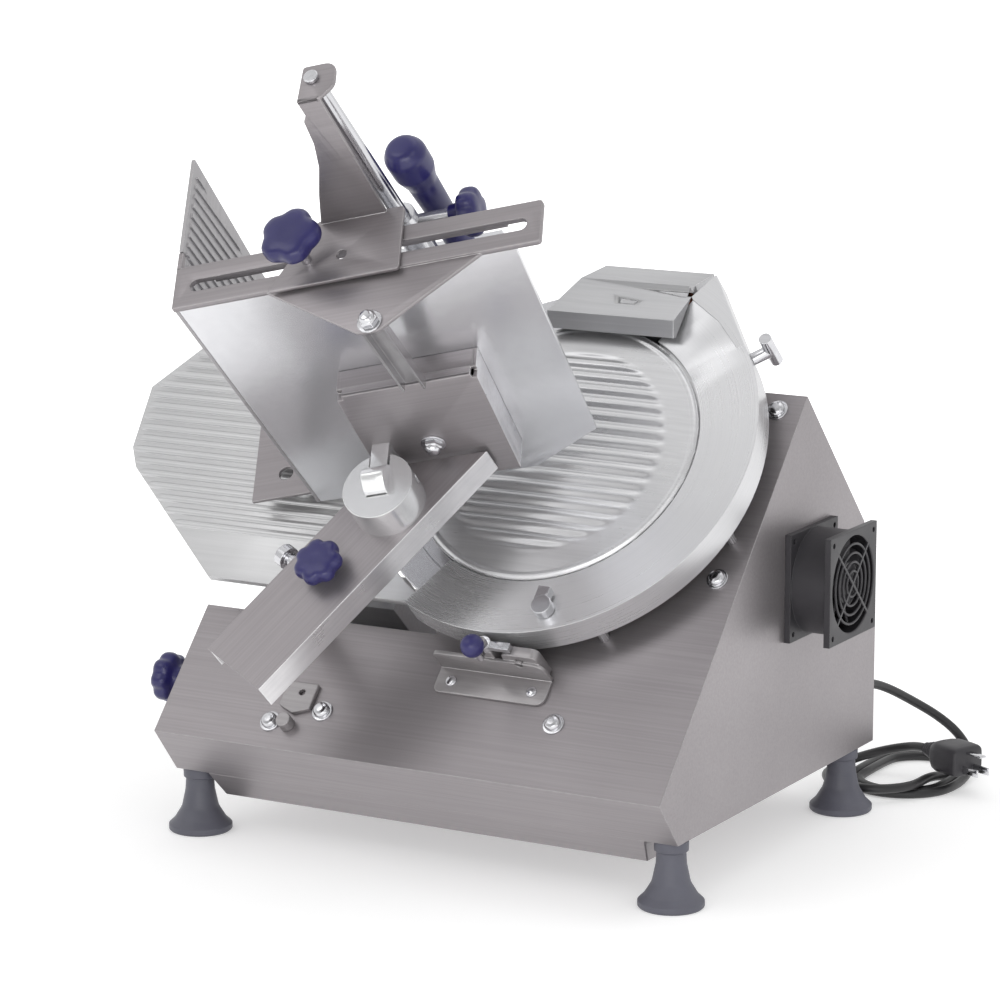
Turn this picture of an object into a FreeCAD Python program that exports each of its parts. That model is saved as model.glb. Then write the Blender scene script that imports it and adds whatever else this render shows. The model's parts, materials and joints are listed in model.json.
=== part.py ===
import FreeCAD, Part
import math
import os

import Sketcher
from FreeCAD import Placement, Rotation, Vector

# A meat slicer with an inclined knife, 300 mm across, and a hand pushed carriage.
# Millimetres. X runs to the right, Y to the back and Z up. The origin is under the
# middle of the whole machine, on the surface that it stands on.

doc = FreeCAD.newDocument("MeatSlicer")
sheet = doc.addObject("Spreadsheet::Sheet", "Sizes")
nodes = []
UP = Vector(0, 0, 1)
RIGHT = Vector(1, 0, 0)
BACK = Vector(0, 1, 0)
FAR = 600.0  # reaches past every piece


class Size:
    """A number, with the words that give it from the cells of the sheet."""

    def __init__(self, number, words):
        self.number = float(number)
        self.words = words

    def __float__(self):
        return self.number

    def __neg__(self):
        return Size(-self.number, "(0 - %s)" % self.words)

    def __add__(self, other):
        other = as_size(other)
        return Size(self.number + other.number, "(%s + %s)" % (self.words, other.words))

    def __sub__(self, other):
        other = as_size(other)
        return Size(self.number - other.number, "(%s - %s)" % (self.words, other.words))

    def __mul__(self, other):
        other = as_size(other)
        return Size(self.number * other.number, "(%s * %s)" % (self.words, other.words))

    def __truediv__(self, other):
        other = as_size(other)
        return Size(self.number / other.number, "(%s / %s)" % (self.words, other.words))

    def __radd__(self, other):
        return as_size(other) + self

    def __rsub__(self, other):
        return as_size(other) - self

    def __rmul__(self, other):
        return as_size(other) * self


def as_size(item):
    if isinstance(item, Size):
        return item
    return Size(item, "(%r)" % float(item))


class Cells:
    """The driving dimensions: each one is a cell of the sheet and a name here."""

    def __init__(self):
        self.count = 0

    def add(self, values):
        for name, number in values.items():
            self.count += 1
            sheet.set("A%d" % self.count, name)
            sheet.set("B%d" % self.count, str(number))
            sheet.setAlias("B%d" % self.count, name)
            setattr(self, name, Size(number, "Sizes.%s" % name))


s = Cells()


def point(across, along, high):
    return Vector(float(across), float(along), float(high))


def shift(across, along, high):
    return Placement(point(across, along, high), Rotation())


def turn(axis, degrees):
    return Placement(Vector(), Rotation(axis, float(degrees)))


def bind(piece, prop, amount):
    piece.setExpression(prop, as_size(amount).words)


def box(name, frame, low, high):
    """A block between two corners of its frame."""
    piece = doc.addObject("Part::Box", name)
    for prop, low_side, high_side in zip(("Length", "Width", "Height"), low, high):
        bind(piece, prop, high_side - low_side)
    piece.Placement = frame * shift(*low)
    return piece


def rod(name, frame, start, radius, length, axis=UP):
    """A round bar from a point of its frame along an axis."""
    piece = doc.addObject("Part::Cylinder", name)
    bind(piece, "Radius", radius)
    bind(piece, "Height", length)
    piece.Placement = frame * Placement(point(*start), Rotation(UP, axis))
    return piece


def cone(name, frame, start, radii, length, axis=UP):
    piece = doc.addObject("Part::Cone", name)
    bind(piece, "Radius1", radii[0])
    bind(piece, "Radius2", radii[1])
    bind(piece, "Height", length)
    piece.Placement = frame * Placement(point(*start), Rotation(UP, axis))
    return piece


def ball(name, frame, centre, radius):
    piece = doc.addObject("Part::Sphere", name)
    bind(piece, "Radius", radius)
    piece.Placement = frame * shift(*centre)
    return piece


def fuse(name, pieces):
    piece = doc.addObject("Part::MultiFuse", name)
    piece.Shapes = pieces
    piece.Refine = True
    return piece


def cut(name, base, tools):
    """The base without its tools, which are joined first when there are several."""
    tool = tools[0]
    if len(tools) > 1:
        tool = fuse(name + "_tools", tools)
    piece = doc.addObject("Part::Cut", name)
    piece.Base = base
    piece.Tool = tool
    return piece


def common(name, first, second):
    piece = doc.addObject("Part::Common", name)
    piece.Base = first
    piece.Tool = second
    return piece


def group(name, pieces):
    piece = doc.addObject("Part::Compound", name)
    piece.Links = pieces
    return piece


def shaped(name, frame, shape):
    """A piece whose shape comes from the sizes by its own steps."""
    piece = doc.addObject("Part::Feature", name)
    piece.Shape = shape
    piece.Placement = frame
    return piece


def origin_plane(body, role):
    for feature in body.Origin.OriginFeatures:
        if feature.Role == role:
            return feature
    raise ValueError("no plane called " + role)


def outline_sketch(body, name, role, corners):
    """A closed outline with straight sides, each corner bound to the sheet."""
    sketch = body.newObject("Sketcher::SketchObject", name)
    sketch.AttachmentSupport = [(origin_plane(body, role), "")]
    sketch.MapMode = "FlatFace"
    places = [(as_size(across), as_size(up)) for across, up in corners]
    ends = places[1:] + places[:1]
    for start, end in zip(places, ends):
        line = Part.LineSegment(point(*start, 0), point(*end, 0))
        sketch.addGeometry(line, False)
    for index, place in enumerate(places):
        after = (index + 1) % len(places)
        sketch.addConstraint(Sketcher.Constraint("Coincident", index, 2, after, 1))
        for kind, amount in zip(("DistanceX", "DistanceY"), place):
            mark = Sketcher.Constraint(kind, -1, 1, index, 1, amount.number)
            number = sketch.addConstraint(mark)
            sketch.setExpression("Constraints[%d]" % number, amount.words)
    return sketch


def plate(name, frame, corners, thickness, plane="XY_Plane", lift=(0, 0, 0), reverse=False):
    """A flat sheet: its outline in a plane of the frame, raised by its thickness."""
    body = doc.addObject("PartDesign::Body", name)
    sketch = outline_sketch(body, name + "_outline", plane, corners)
    pad = body.newObject("PartDesign::Pad", name + "_pad")
    pad.Profile = sketch
    bind(pad, "Length", thickness)
    pad.Reversed = reverse
    body.Tip = pad
    body.Placement = frame * shift(*lift)
    return body


def ring(name, frame, start, outer, inner, length, axis=UP):
    """A round bush with a bore."""
    body = rod(name + "_body", frame, start, outer, length, axis)
    bore = rod(name + "_bore", frame, start, inner, length, axis)
    return cut(name, body, [bore])


def polygon_face(corners):
    places = [Vector(*[float(amount) for amount in corner]) for corner in corners]
    return Part.Face(Part.makePolygon(places + places[:1]))


def prism(corners, travel):
    """The solid that a flat outline sweeps along a straight travel."""
    return polygon_face(corners).extrude(travel)


def node(name, piece):
    """Marks a finished sub-part: its label is the name of its file."""
    piece.Label = name
    nodes.append(piece)
    return piece


# Frames: the world, the incline that carries the knife, the carriage and its arm.
frame_sizes = {
    "origin_right": 39.0,
    "origin_back": -118.0,
    "fold_height": 88.0,
    "incline_angle": 47.6,
    "carriage_angle": 17.0,
    "arm_right_start": -66.8,
    "arm_along_start": -6.0,
    "arm_angle": 64.0,
}
s.add(frame_sizes)
world = shift(s.origin_right, s.origin_back, 0)
incline = world * shift(0, 0, s.fold_height) * turn(RIGHT, s.incline_angle)
carriage = incline * turn(UP, s.carriage_angle)
arm_frame = incline * shift(s.arm_right_start, s.arm_along_start, 0) * turn(UP, s.arm_angle)
lean_cos = math.cos(math.radians(float(s.incline_angle)))
lean_sin = math.sin(math.radians(float(s.incline_angle)))


def side_place(along, high):
    """The back and up of a place on the incline, as the side view shows it."""
    back = float(along) * lean_cos - float(high) * lean_sin
    up = float(s.fold_height) + float(along) * lean_sin + float(high) * lean_cos
    return back, up


# Housing: one bent sheet, a tall tower on the right and a low bed on the left.
housing_sizes = {
    "base_width": 440.0,
    "wall": 2.0,
    "running_gap": 0.3,
    "skirt_height": 51.0,
    "skirt_setback": 30.0,
    "crown_reach": 91.5,
    "shoulder_back": 350.0,
    "shoulder_height": 236.0,
    "rear_back": 375.0,
    "rear_height": 167.0,
    "tower_left": -12.0,
    "lip_along": 115.0,
    "lip_depth": 12.0,
    "channel_floor": 112.0,
    "channel_back": 165.0,
    "deck_height": 128.0,
    "slide_window_front": 90.0,
    "slide_window_back": 162.0,
    "slide_window_top": 166.0,
    "flange_width": 28.0,
    "hub_right": 50.0,
    "hub_along": 266.0,
    "hub_barrel_radius": 28.0,
    "hub_hole_slack": 1.0,
    "fan_back": 247.0,
    "fan_height": 209.0,
    "fan_side": 84.0,
    "fan_depth": 38.0,
    "fan_duct_radius": 38.0,
    "gland_inset": 24.0,
    "gland_height": 88.0,
    "gland_radius": 6.0,
    "dial_back": 52.0,
    "dial_height": 117.0,
    "dial_shaft_radius": 6.0,
}
s.add(housing_sizes)
half_width = s.base_width / 2
s.incline_length = s.hub_along + s.crown_reach
s.gland_right = half_width - s.gland_inset


def front_slope(height):
    """How far back the slanted front lies at a height under the fold."""
    return s.skirt_setback * ((s.fold_height - height) / (s.fold_height - s.skirt_height))


def tower_profile():
    crown = side_place(s.incline_length, 0)
    return [
        (front_slope(s.skirt_height), s.skirt_height),
        (0, s.fold_height),
        crown,
        (s.shoulder_back, s.shoulder_height),
        (s.rear_back, s.rear_height),
        (s.rear_back, s.skirt_height),
    ]


def bed_profile():
    lip_top = side_place(s.lip_along, 0)
    lip_foot = side_place(s.lip_along, -s.lip_depth)
    return [
        (front_slope(s.skirt_height), s.skirt_height),
        (0, s.fold_height),
        lip_top,
        lip_foot,
        (lip_foot[0], s.channel_floor),
        (s.channel_back, s.channel_floor),
        (s.channel_back, s.deck_height),
        (s.rear_back, s.deck_height),
        (s.rear_back, s.skirt_height),
    ]


def side_prism(profile, left, right, inset):
    """A side profile, drawn in by an inset, run across from left to right."""
    left = float(left)
    wire = Part.makePolygon([Vector(left, float(back), float(up)) for back, up in profile + profile[:1]])
    if float(inset) > 0:
        wire = wire.makeOffset2D(-float(inset), 2)
    return Part.Face(wire).extrude(Vector(float(right) - left, 0, 0))


# The slope's bolts: how far in from the nearer end, and how far up the slope.
RIGHT_BOLTS = [(20.3, 342.2), (19.2, 191.0), (107.1, 53.6)]
LEFT_BOLTS = [(97.7, 22.2), (138.5, 36.9)]


def make_base_housing():
    wall = float(s.wall)
    left = -float(half_width)
    right = float(half_width)
    step = float(s.tower_left)
    outer = side_prism(bed_profile(), left, step, 0).fuse(side_prism(tower_profile(), step, right, 0))
    hollow = side_prism(bed_profile(), left + wall, step + wall, wall)
    hollow = hollow.fuse(side_prism(tower_profile(), step + wall, right - wall, wall))
    shell = outer.cut(hollow)
    flange = float(s.flange_width)
    front = float(s.skirt_setback) + flange
    depth = float(s.rear_back) - flange - front
    under = Part.makeBox(right - left - 2 * flange, depth, 2 * wall,
                         Vector(left + flange, front, float(s.skirt_height) - wall / 2))
    window_front = float(s.slide_window_front)
    window = Part.makeBox(2 * wall, float(s.slide_window_back) - window_front,
                          float(s.slide_window_top) - float(s.channel_floor),
                          Vector(step - wall / 2, window_front, float(s.channel_floor)))
    fan_hole = Part.makeCylinder(float(s.fan_duct_radius), 2 * wall,
                                 Vector(right - 1.5 * wall, float(s.fan_back), float(s.fan_height)), RIGHT)
    gland_hole = Part.makeCylinder(float(s.gland_radius), 2 * wall,
                                   Vector(float(s.gland_right), float(s.rear_back) - 1.5 * wall,
                                          float(s.gland_height)), BACK)
    dial_hole = Part.makeCylinder(float(s.dial_shaft_radius + s.running_gap), 2 * wall,
                                  Vector(left - wall / 2, float(s.dial_back), float(s.dial_height)), RIGHT)
    hub_hole = Part.makeCylinder(float(s.hub_barrel_radius + s.hub_hole_slack), 2 * wall,
                                 point(s.hub_right, s.hub_along, -1.5 * wall))
    hub_hole.Placement = shift(0, 0, s.fold_height) * turn(RIGHT, s.incline_angle) * hub_hole.Placement
    shell = shell.cut([under, window, fan_hole, gland_hole, dial_hole, hub_hole])
    return node("base_housing", shaped("base_housing", world, shell.removeSplitter()))


pan_sizes = {
    "pan_height": 21.0,
    "pan_top_inset": 28.0,
    "pan_taper": 6.0,
    "pan_rear_gap": 8.0,
}
s.add(pan_sizes)


def pan_block(inset, low, high):
    """The pan's outside, or its hollow when drawn in, between two heights."""
    rings = []
    for level in (low, high):
        drop = (float(s.skirt_height) - level) / float(s.pan_height)
        side = float(half_width - s.pan_top_inset) - drop * float(s.pan_taper) - inset
        front = float(front_slope(level)) + inset + 1
        back = float(s.rear_back - s.pan_rear_gap) - drop * float(s.pan_taper) - inset
        corners = [(-side, front), (side, front), (side, back), (-side, back)]
        places = [Vector(across, along, level) for across, along in corners]
        rings.append(Part.makePolygon(places + places[:1]))
    return Part.makeLoft(rings, True, True)


def make_bottom_pan():
    top = float(s.skirt_height)
    low = top - float(s.pan_height)
    wall = float(s.wall)
    pan = pan_block(0, low, top).cut(pan_block(wall, low + wall, top + wall))
    return node("bottom_pan", shaped("bottom_pan", world, pan))


foot_sizes = {
    "foot_radius": 25.0,
    "foot_rim": 5.0,
    "foot_neck_radius": 11.0,
    "foot_collar_radius": 13.0,
    "foot_collar": 8.0,
    "foot_inset": 12.5,
    "foot_front": 44.0,
    "foot_back": 342.0,
}
s.add(foot_sizes)
s.foot_right = half_width - s.foot_inset


def make_foot(name, across, along):
    radius = float(s.foot_radius)
    neck = float(s.foot_neck_radius)
    collar = float(s.foot_collar_radius)
    top = float(s.skirt_height)
    collar_low = top - float(s.foot_collar)
    rim = float(s.foot_rim)
    bell_start = Vector(radius, 0, rim)
    bell_middle = Vector(neck + (radius - neck) * 0.3, 0, rim + (collar_low - rim) * 0.4)
    bell_end = Vector(neck, 0, collar_low)
    edges = [
        Part.makeLine(Vector(), Vector(radius, 0, 0)),
        Part.makeLine(Vector(radius, 0, 0), bell_start),
        Part.Arc(bell_start, bell_middle, bell_end).toShape(),
        Part.makeLine(bell_end, Vector(collar, 0, collar_low)),
        Part.makeLine(Vector(collar, 0, collar_low), Vector(collar, 0, top)),
        Part.makeLine(Vector(collar, 0, top), Vector(0, 0, top)),
        Part.makeLine(Vector(0, 0, top), Vector()),
    ]
    face = Part.Face(Part.Wire(edges))
    foot = face.revolve(Vector(), UP, 360)
    return node(name, shaped(name, world * shift(across, along, 0), foot))


def make_feet():
    for side, across in (("left", -s.foot_right), ("right", s.foot_right)):
        for end, along in (("front", s.foot_front), ("rear", s.foot_back)):
            make_foot("foot_%s_%s" % (end, side), across, along)


bolt_sizes = {
    "washer_radius": 8.5,
    "washer_thick": 1.5,
    "bolt_head_radius": 6.5,
    "bolt_head_height": 5.0,
    "bracket_reach_left": 45.0,
    "bracket_reach_right": 50.0,
    "bracket_below_hub": 176.0,
    "bracket_foot": 24.0,
    "bracket_sheet": 3.0,
    "bracket_screw_inset": 13.0,
    "bracket_screw_up": 10.0,
}
s.add(bolt_sizes)
s.bracket_left = s.hub_right - s.bracket_reach_left
s.bracket_right = s.hub_right + s.bracket_reach_right
s.bracket_fold = s.hub_along - s.bracket_below_hub
s.bracket_front = s.bracket_fold - s.bracket_foot
s.bracket_screw_along = s.bracket_front + s.bracket_screw_up


def dome_bolt(name, frame, place):
    """A washer with a domed head on it, seated on its frame's plane."""
    washer = rod(name + "_washer", frame, place, s.washer_radius, s.washer_thick)
    low = (place[0], place[1], place[2] + s.washer_thick)
    radii = (s.bolt_head_radius, s.bolt_head_radius * 0.6)
    dome = cone(name + "_dome", frame, low, radii, s.bolt_head_height)
    return fuse(name, [washer, dome])


def make_housing_bolts():
    bolts = []
    places = [(half_width - inset, along) for inset, along in RIGHT_BOLTS]
    places += [(inset - half_width, along) for inset, along in LEFT_BOLTS]
    for number, (across, along) in enumerate(places):
        bolts.append(dome_bolt("housing_bolt_%d" % (number + 1), incline, (across, along, 0)))
    for number, across in enumerate((s.bracket_left + s.bracket_screw_inset,
                                     s.bracket_right - s.bracket_screw_inset)):
        place = (across, s.bracket_screw_along, s.bracket_sheet)
        bolts.append(dome_bolt("bracket_bolt_%d" % number, incline, place))
    return node("housing_bolts", group("housing_bolts", bolts))


make_base_housing()
make_bottom_pan()
make_feet()
make_housing_bolts()


# Knife group: hub, spindle, knife, cover, ring guard, belt drive.
drive_sizes = {
    "knife_radius": 150.0,
    "knife_face": 30.0,
    "knife_thick": 6.0,
    "knife_bore": 10.0,
    "hub_flange_radius": 48.0,
    "hub_flange_thick": 8.0,
    "hub_barrel_low": -40.0,
    "hub_barrel_top": 14.0,
    "bearing_radius": 17.0,
    "bearing_thick": 12.0,
    "spindle_radius": 8.0,
    "spindle_low": -62.0,
    "spindle_seat_radius": 30.0,
    "spindle_seat_thick": 6.0,
    "pin_gap": 0.05,
    "pulley_radius": 55.0,
    "pulley_low": -60.0,
    "pulley_thick": 16.0,
    "motor_inset": 70.0,
    "motor_below_hub": 56.0,
    "motor_radius": 44.0,
    "motor_low": -165.0,
    "motor_length": 95.0,
    "motor_shaft_radius": 6.0,
    "motor_pulley_radius": 20.0,
    "mount_plate_thick": 4.0,
    "mount_plate_half": 52.0,
    "pillar_radius": 6.0,
    "belt_thick": 4.0,
    "belt_width": 12.0,
}
s.add(drive_sizes)
s.motor_right = half_width - s.motor_inset
s.motor_along = s.hub_along - s.motor_below_hub
hub_place = (s.hub_right, s.hub_along, 0)
hub_frame = incline * shift(*hub_place)


def make_knife_hub():
    flange = rod("hub_flange", hub_frame, (0, 0, 0), s.hub_flange_radius, s.hub_flange_thick)
    barrel = rod("hub_barrel", hub_frame, (0, 0, s.hub_barrel_low), s.hub_barrel_radius,
                 s.hub_barrel_top - s.hub_barrel_low)
    bore = rod("hub_bore", hub_frame, (0, 0, s.hub_barrel_low), s.bearing_radius,
               s.hub_barrel_top - s.hub_barrel_low)
    node("knife_hub", cut("knife_hub", fuse("hub_casting", [flange, barrel]), [bore]))
    bearings = []
    for name, low in (("rear", s.hub_barrel_low), ("front", s.hub_barrel_top - s.bearing_thick)):
        bearings.append(ring("hub_bearing_" + name, hub_frame, (0, 0, low), s.bearing_radius,
                             s.spindle_radius + s.pin_gap, s.bearing_thick))
    node("hub_bearings", group("hub_bearings", bearings))


def make_knife():
    back = s.knife_face - s.knife_thick
    body = rod("knife_body", hub_frame, (0, 0, back), s.knife_radius - 12, s.knife_thick)
    bevel = cone("knife_bevel", hub_frame, (0, 0, back), (s.knife_radius - 12, s.knife_radius), s.knife_thick)
    dish = rod("knife_dish", hub_frame, (0, 0, s.knife_face - 1), s.knife_radius - 25, 2)
    hole = rod("knife_hole", hub_frame, (0, 0, back), s.knife_bore, s.knife_thick)
    node("knife", cut("knife", fuse("knife_blank", [body, bevel]), [dish, hole]))
    shaft = rod("spindle_shaft", hub_frame, (0, 0, s.spindle_low), s.spindle_radius, back - s.spindle_low)
    seat_low = back - s.spindle_seat_thick
    seat = rod("spindle_seat", hub_frame, (0, 0, seat_low), s.spindle_seat_radius, s.spindle_seat_thick)
    pilot = rod("spindle_pilot", hub_frame, (0, 0, back), s.knife_bore, s.knife_thick - 1)
    node("knife_spindle", fuse("knife_spindle", [shaft, seat, pilot]))
    node("knife_pulley", ring("knife_pulley", hub_frame, (0, 0, s.pulley_low), s.pulley_radius,
                              s.spindle_radius, s.pulley_thick))


def make_motor():
    plate_top = s.motor_low + s.motor_length + s.mount_plate_thick
    motor_place = (s.motor_right, s.motor_along)
    case = rod("motor_case", incline, (*motor_place, s.motor_low), s.motor_radius, s.motor_length)
    boss = rod("motor_boss", incline, (*motor_place, plate_top - s.mount_plate_thick),
               s.motor_shaft_radius + 8, s.mount_plate_thick)
    node("motor", fuse("motor", [case, boss]))
    half = s.mount_plate_half
    base = box("motor_plate", incline,
               (s.motor_right - half, s.motor_along - half, plate_top - s.mount_plate_thick),
               (s.motor_right + half, s.motor_along + half, plate_top))
    hole = rod("motor_plate_hole", incline, (*motor_place, plate_top - s.mount_plate_thick),
               s.motor_shaft_radius + 8, s.mount_plate_thick)
    pillars = []
    for number, (right, up) in enumerate(((-1, -1), (1, -1), (1, 1))):
        place = (s.motor_right + right * (half - s.pillar_radius),
                 s.motor_along + up * (half - s.pillar_radius), plate_top)
        pillars.append(rod("pillar_%d" % number, incline, place, s.pillar_radius, -s.wall - plate_top))
    node("motor_bracket", fuse("motor_bracket", [cut("motor_plate_bored", base, [hole])] + pillars))
    wheel = rod("motor_wheel", incline, (*motor_place, s.pulley_low), s.motor_pulley_radius, s.pulley_thick)
    shaft = rod("motor_shaft", incline, (*motor_place, plate_top), s.motor_shaft_radius,
                s.pulley_low - plate_top)
    node("motor_pulley", fuse("motor_pulley", [wheel, shaft]))


def belt_loop(first, second, first_radius, second_radius, low, thick):
    """The outline of a belt round two pulleys, as a solid."""
    gap = first.distanceToPoint(second)
    lean = math.asin((first_radius - second_radius) / gap)
    way = (second - first).normalize()
    side = Vector(-way.y, way.x, 0)
    corners = []
    for sign in (1, -1):
        out = way * math.sin(lean) + side * (sign * math.cos(lean))
        corners.append((first + out * first_radius, second + out * second_radius))
    (start_one, end_one), (start_two, end_two) = corners
    edges = [
        Part.makeLine(start_one, end_one),
        Part.Arc(end_one, second + way * second_radius, end_two).toShape(),
        Part.makeLine(end_two, start_two),
        Part.Arc(start_two, first - way * first_radius, start_one).toShape(),
    ]
    face = Part.Face(Part.Wire(edges))
    face.translate(Vector(0, 0, low))
    return face.extrude(Vector(0, 0, thick))


def make_drive_belt():
    first = point(s.hub_right, s.hub_along, 0)
    second = point(s.motor_right, s.motor_along, 0)
    low = float(s.pulley_low + (s.pulley_thick - s.belt_width) / 2)
    width = float(s.belt_width)
    gap = float(s.running_gap)
    thick = float(s.belt_thick)
    inner = (float(s.pulley_radius) + gap, float(s.motor_pulley_radius) + gap)
    outside = belt_loop(first, second, inner[0] + thick, inner[1] + thick, low, width)
    inside = belt_loop(first, second, inner[0], inner[1], low, width)
    node("drive_belt", shaped("drive_belt", incline, outside.cut(inside)))


guard_sizes = {
    "cover_radius": 116.0,
    "cover_rim_low": 33.0,
    "cover_rim_thick": 3.0,
    "cover_crown": 40.0,
    "rib_pitch": 14.0,
    "rib_width": 5.0,
    "rib_height": 1.6,
    "ring_radius": 165.0,
    "ring_crease": 42.0,
    "ring_inner_top": 37.0,
    "ring_low": 17.0,
    "ring_sheet": 3.0,
    "ring_from": -116.0,
    "ring_to": 64.0,
    "rebate_width": 5.0,
    "rebate_thick": 2.5,
    "shoulder_top_right": 81.6,
    "shoulder_top_along": 167.4,
    "shoulder_cut_right": 67.7,
    "shoulder_cut_along": 145.5,
    "shoulder_start": 40.0,
    "standoff_radius": 4.0,
    "standoff_reach": 156.0,
}
s.add(guard_sizes)


def make_knife_cover():
    """A shallow dished disc with straight ribs across its face."""
    rim = float(s.cover_rim_low)
    thick = float(s.cover_rim_thick)
    crown = float(s.cover_crown)
    radius = float(s.cover_radius)
    shoulder = radius * 0.9
    profile = [
        (0, 0, crown - thick), (0, 0, crown),
        (shoulder * 0.6, 0, crown - 0.6), (shoulder, 0, rim + thick + 1.2),
        (radius, 0, rim + thick), (radius, 0, rim),
        (shoulder, 0, rim), (shoulder * 0.6, 0, crown - 0.6 - thick),
    ]
    disc = polygon_face(profile).revolve(Vector(), UP, 360)
    ribs = []
    pitch = float(s.rib_pitch)
    count = int(shoulder / pitch)
    for number in range(-count, count + 1):
        offset = number * pitch
        half = math.sqrt(max(shoulder ** 2 - offset ** 2, 0)) * 0.94
        if half > pitch:
            top = crown + float(s.rib_height) - 0.8
            ribs.append(Part.makeBox(2 * half, float(s.rib_width), top - rim - 2,
                                     Vector(-half, offset - float(s.rib_width) / 2, rim + 2)))
    dome_outline = [(0, 0, rim), (radius, 0, rim), (radius, 0, rim + thick), (shoulder, 0, rim + thick + 2.2),
                    (shoulder * 0.6, 0, crown + 0.9), (0, 0, crown + 1.4)]
    dome = polygon_face(dome_outline).revolve(Vector(), UP, 360)
    hollow_outline = [(0, 0, rim - 9), (shoulder - 1, 0, rim - 9), (shoulder - 1, 0, rim + 0.4),
                      (shoulder * 0.6, 0, crown - 0.8 - thick), (0, 0, crown - thick)]
    hollow = polygon_face(hollow_outline).revolve(Vector(), UP, 360)
    ribbed = disc.fuse([rib.common(dome) for rib in ribs]).cut(hollow)
    node("knife_cover", shaped("knife_cover", hub_frame, ribbed.removeSplitter()))


def ring_point(angle, radius, high=0.0):
    turned = math.radians(angle)
    return Vector(radius * math.cos(turned), radius * math.sin(turned), high)


def make_ring_guard():
    """A half ring round the knife, with a shoulder that runs out to the sharpener."""
    start = float(s.ring_from)
    sweep = float(s.ring_to) - start
    outer = float(s.ring_radius)
    inner = float(s.cover_radius) + 1.0
    crease = float(s.ring_crease)
    thick = float(s.ring_sheet)
    low = float(s.ring_low)
    inner_top = float(s.ring_inner_top)
    rebate = inner - 1.0 - float(s.rebate_width)
    rim = float(s.cover_rim_low)
    profile = [
        (inner, 0, inner_top), (outer, 0, crease), (outer, 0, low), (outer - thick, 0, low),
        (outer - thick, 0, crease - thick - 0.3), (inner + 4, 0, rim - 0.6),
        (inner, 0, rim - float(s.rebate_thick)),
        (rebate, 0, rim - float(s.rebate_thick)), (rebate, 0, rim), (inner, 0, rim),
    ]
    band = polygon_face(profile)
    band.rotate(Vector(), UP, start)
    half_ring = band.revolve(Vector(), UP, sweep)
    shoulder_start = ring_point(float(s.shoulder_start), outer)
    top = point(s.shoulder_top_right, s.shoulder_top_along, 0)
    cut_end = point(s.shoulder_cut_right, s.shoulder_cut_along, 0)
    inside = ring_point(float(s.ring_to), outer - 2 * thick)
    near = ring_point(float(s.shoulder_start), outer - 2 * thick)
    middle = ring_point((float(s.shoulder_start) + float(s.ring_to)) / 2, outer - 2 * thick)
    outline = Part.makePolygon([near, shoulder_start, top, cut_end, inside, middle, near])
    block = Part.Face(outline)
    block.translate(Vector(0, 0, low))
    block = block.extrude(Vector(0, 0, crease - low))
    lowered = Part.Face(outline.makeOffset2D(-thick, 2))
    lowered.translate(Vector(0, 0, low - thick))
    hollow = lowered.extrude(Vector(0, 0, crease - low))
    core = Part.makeCylinder(outer - thick, crease - low, Vector(0, 0, low - thick))
    shoulder = block.cut([hollow, core])
    shell = half_ring.fuse(shoulder)
    posts = []
    for angle in (-60, -15, 30):
        foot = ring_point(angle, float(s.standoff_reach))
        posts.append(Part.makeCylinder(float(s.standoff_radius), crease - thick + 0.6, foot))
    shell = shell.fuse(posts)
    node("ring_guard", shaped("ring_guard", hub_frame, shell.removeSplitter()))


sharpener_sizes = {
    "house_front_back": 36.2,
    "house_front_height": 121.3,
    "house_ridge_back": 69.6,
    "house_ridge_height": 137.3,
    "house_roof_back": 105.6,
    "house_roof_height": 148.6,
    "house_floor_height": 107.6,
    "house_right": 118.0,
    "house_left_front": 8.0,
    "house_left_ridge": 20.0,
    "house_left_rear": 23.0,
    "house_rear_back": 112.6,
    "post_radius": 10.0,
    "post_right": 64.0,
    "post_back": 99.6,
    "stone_radius": 8.5,
    "stone_thick": 8.0,
    "stone_back": 98.1,
    "stone_height": 127.6,
    "stone_first": 30.0,
    "stone_second": 92.0,
    "stone_axle_radius": 3.0,
    "knife_room": 3.0,
    "side_clear": 0.5,
}
s.add(sharpener_sizes)
# The sharpener's depths and heights count from the knife's centre.
hub_back, hub_up = side_place(s.hub_along, 0)
for name in sharpener_sizes:
    if name.endswith("_back"):
        setattr(s, name, hub_back + getattr(s, name))
    if name.endswith("_height"):
        setattr(s, name, hub_up + getattr(s, name))


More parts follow.
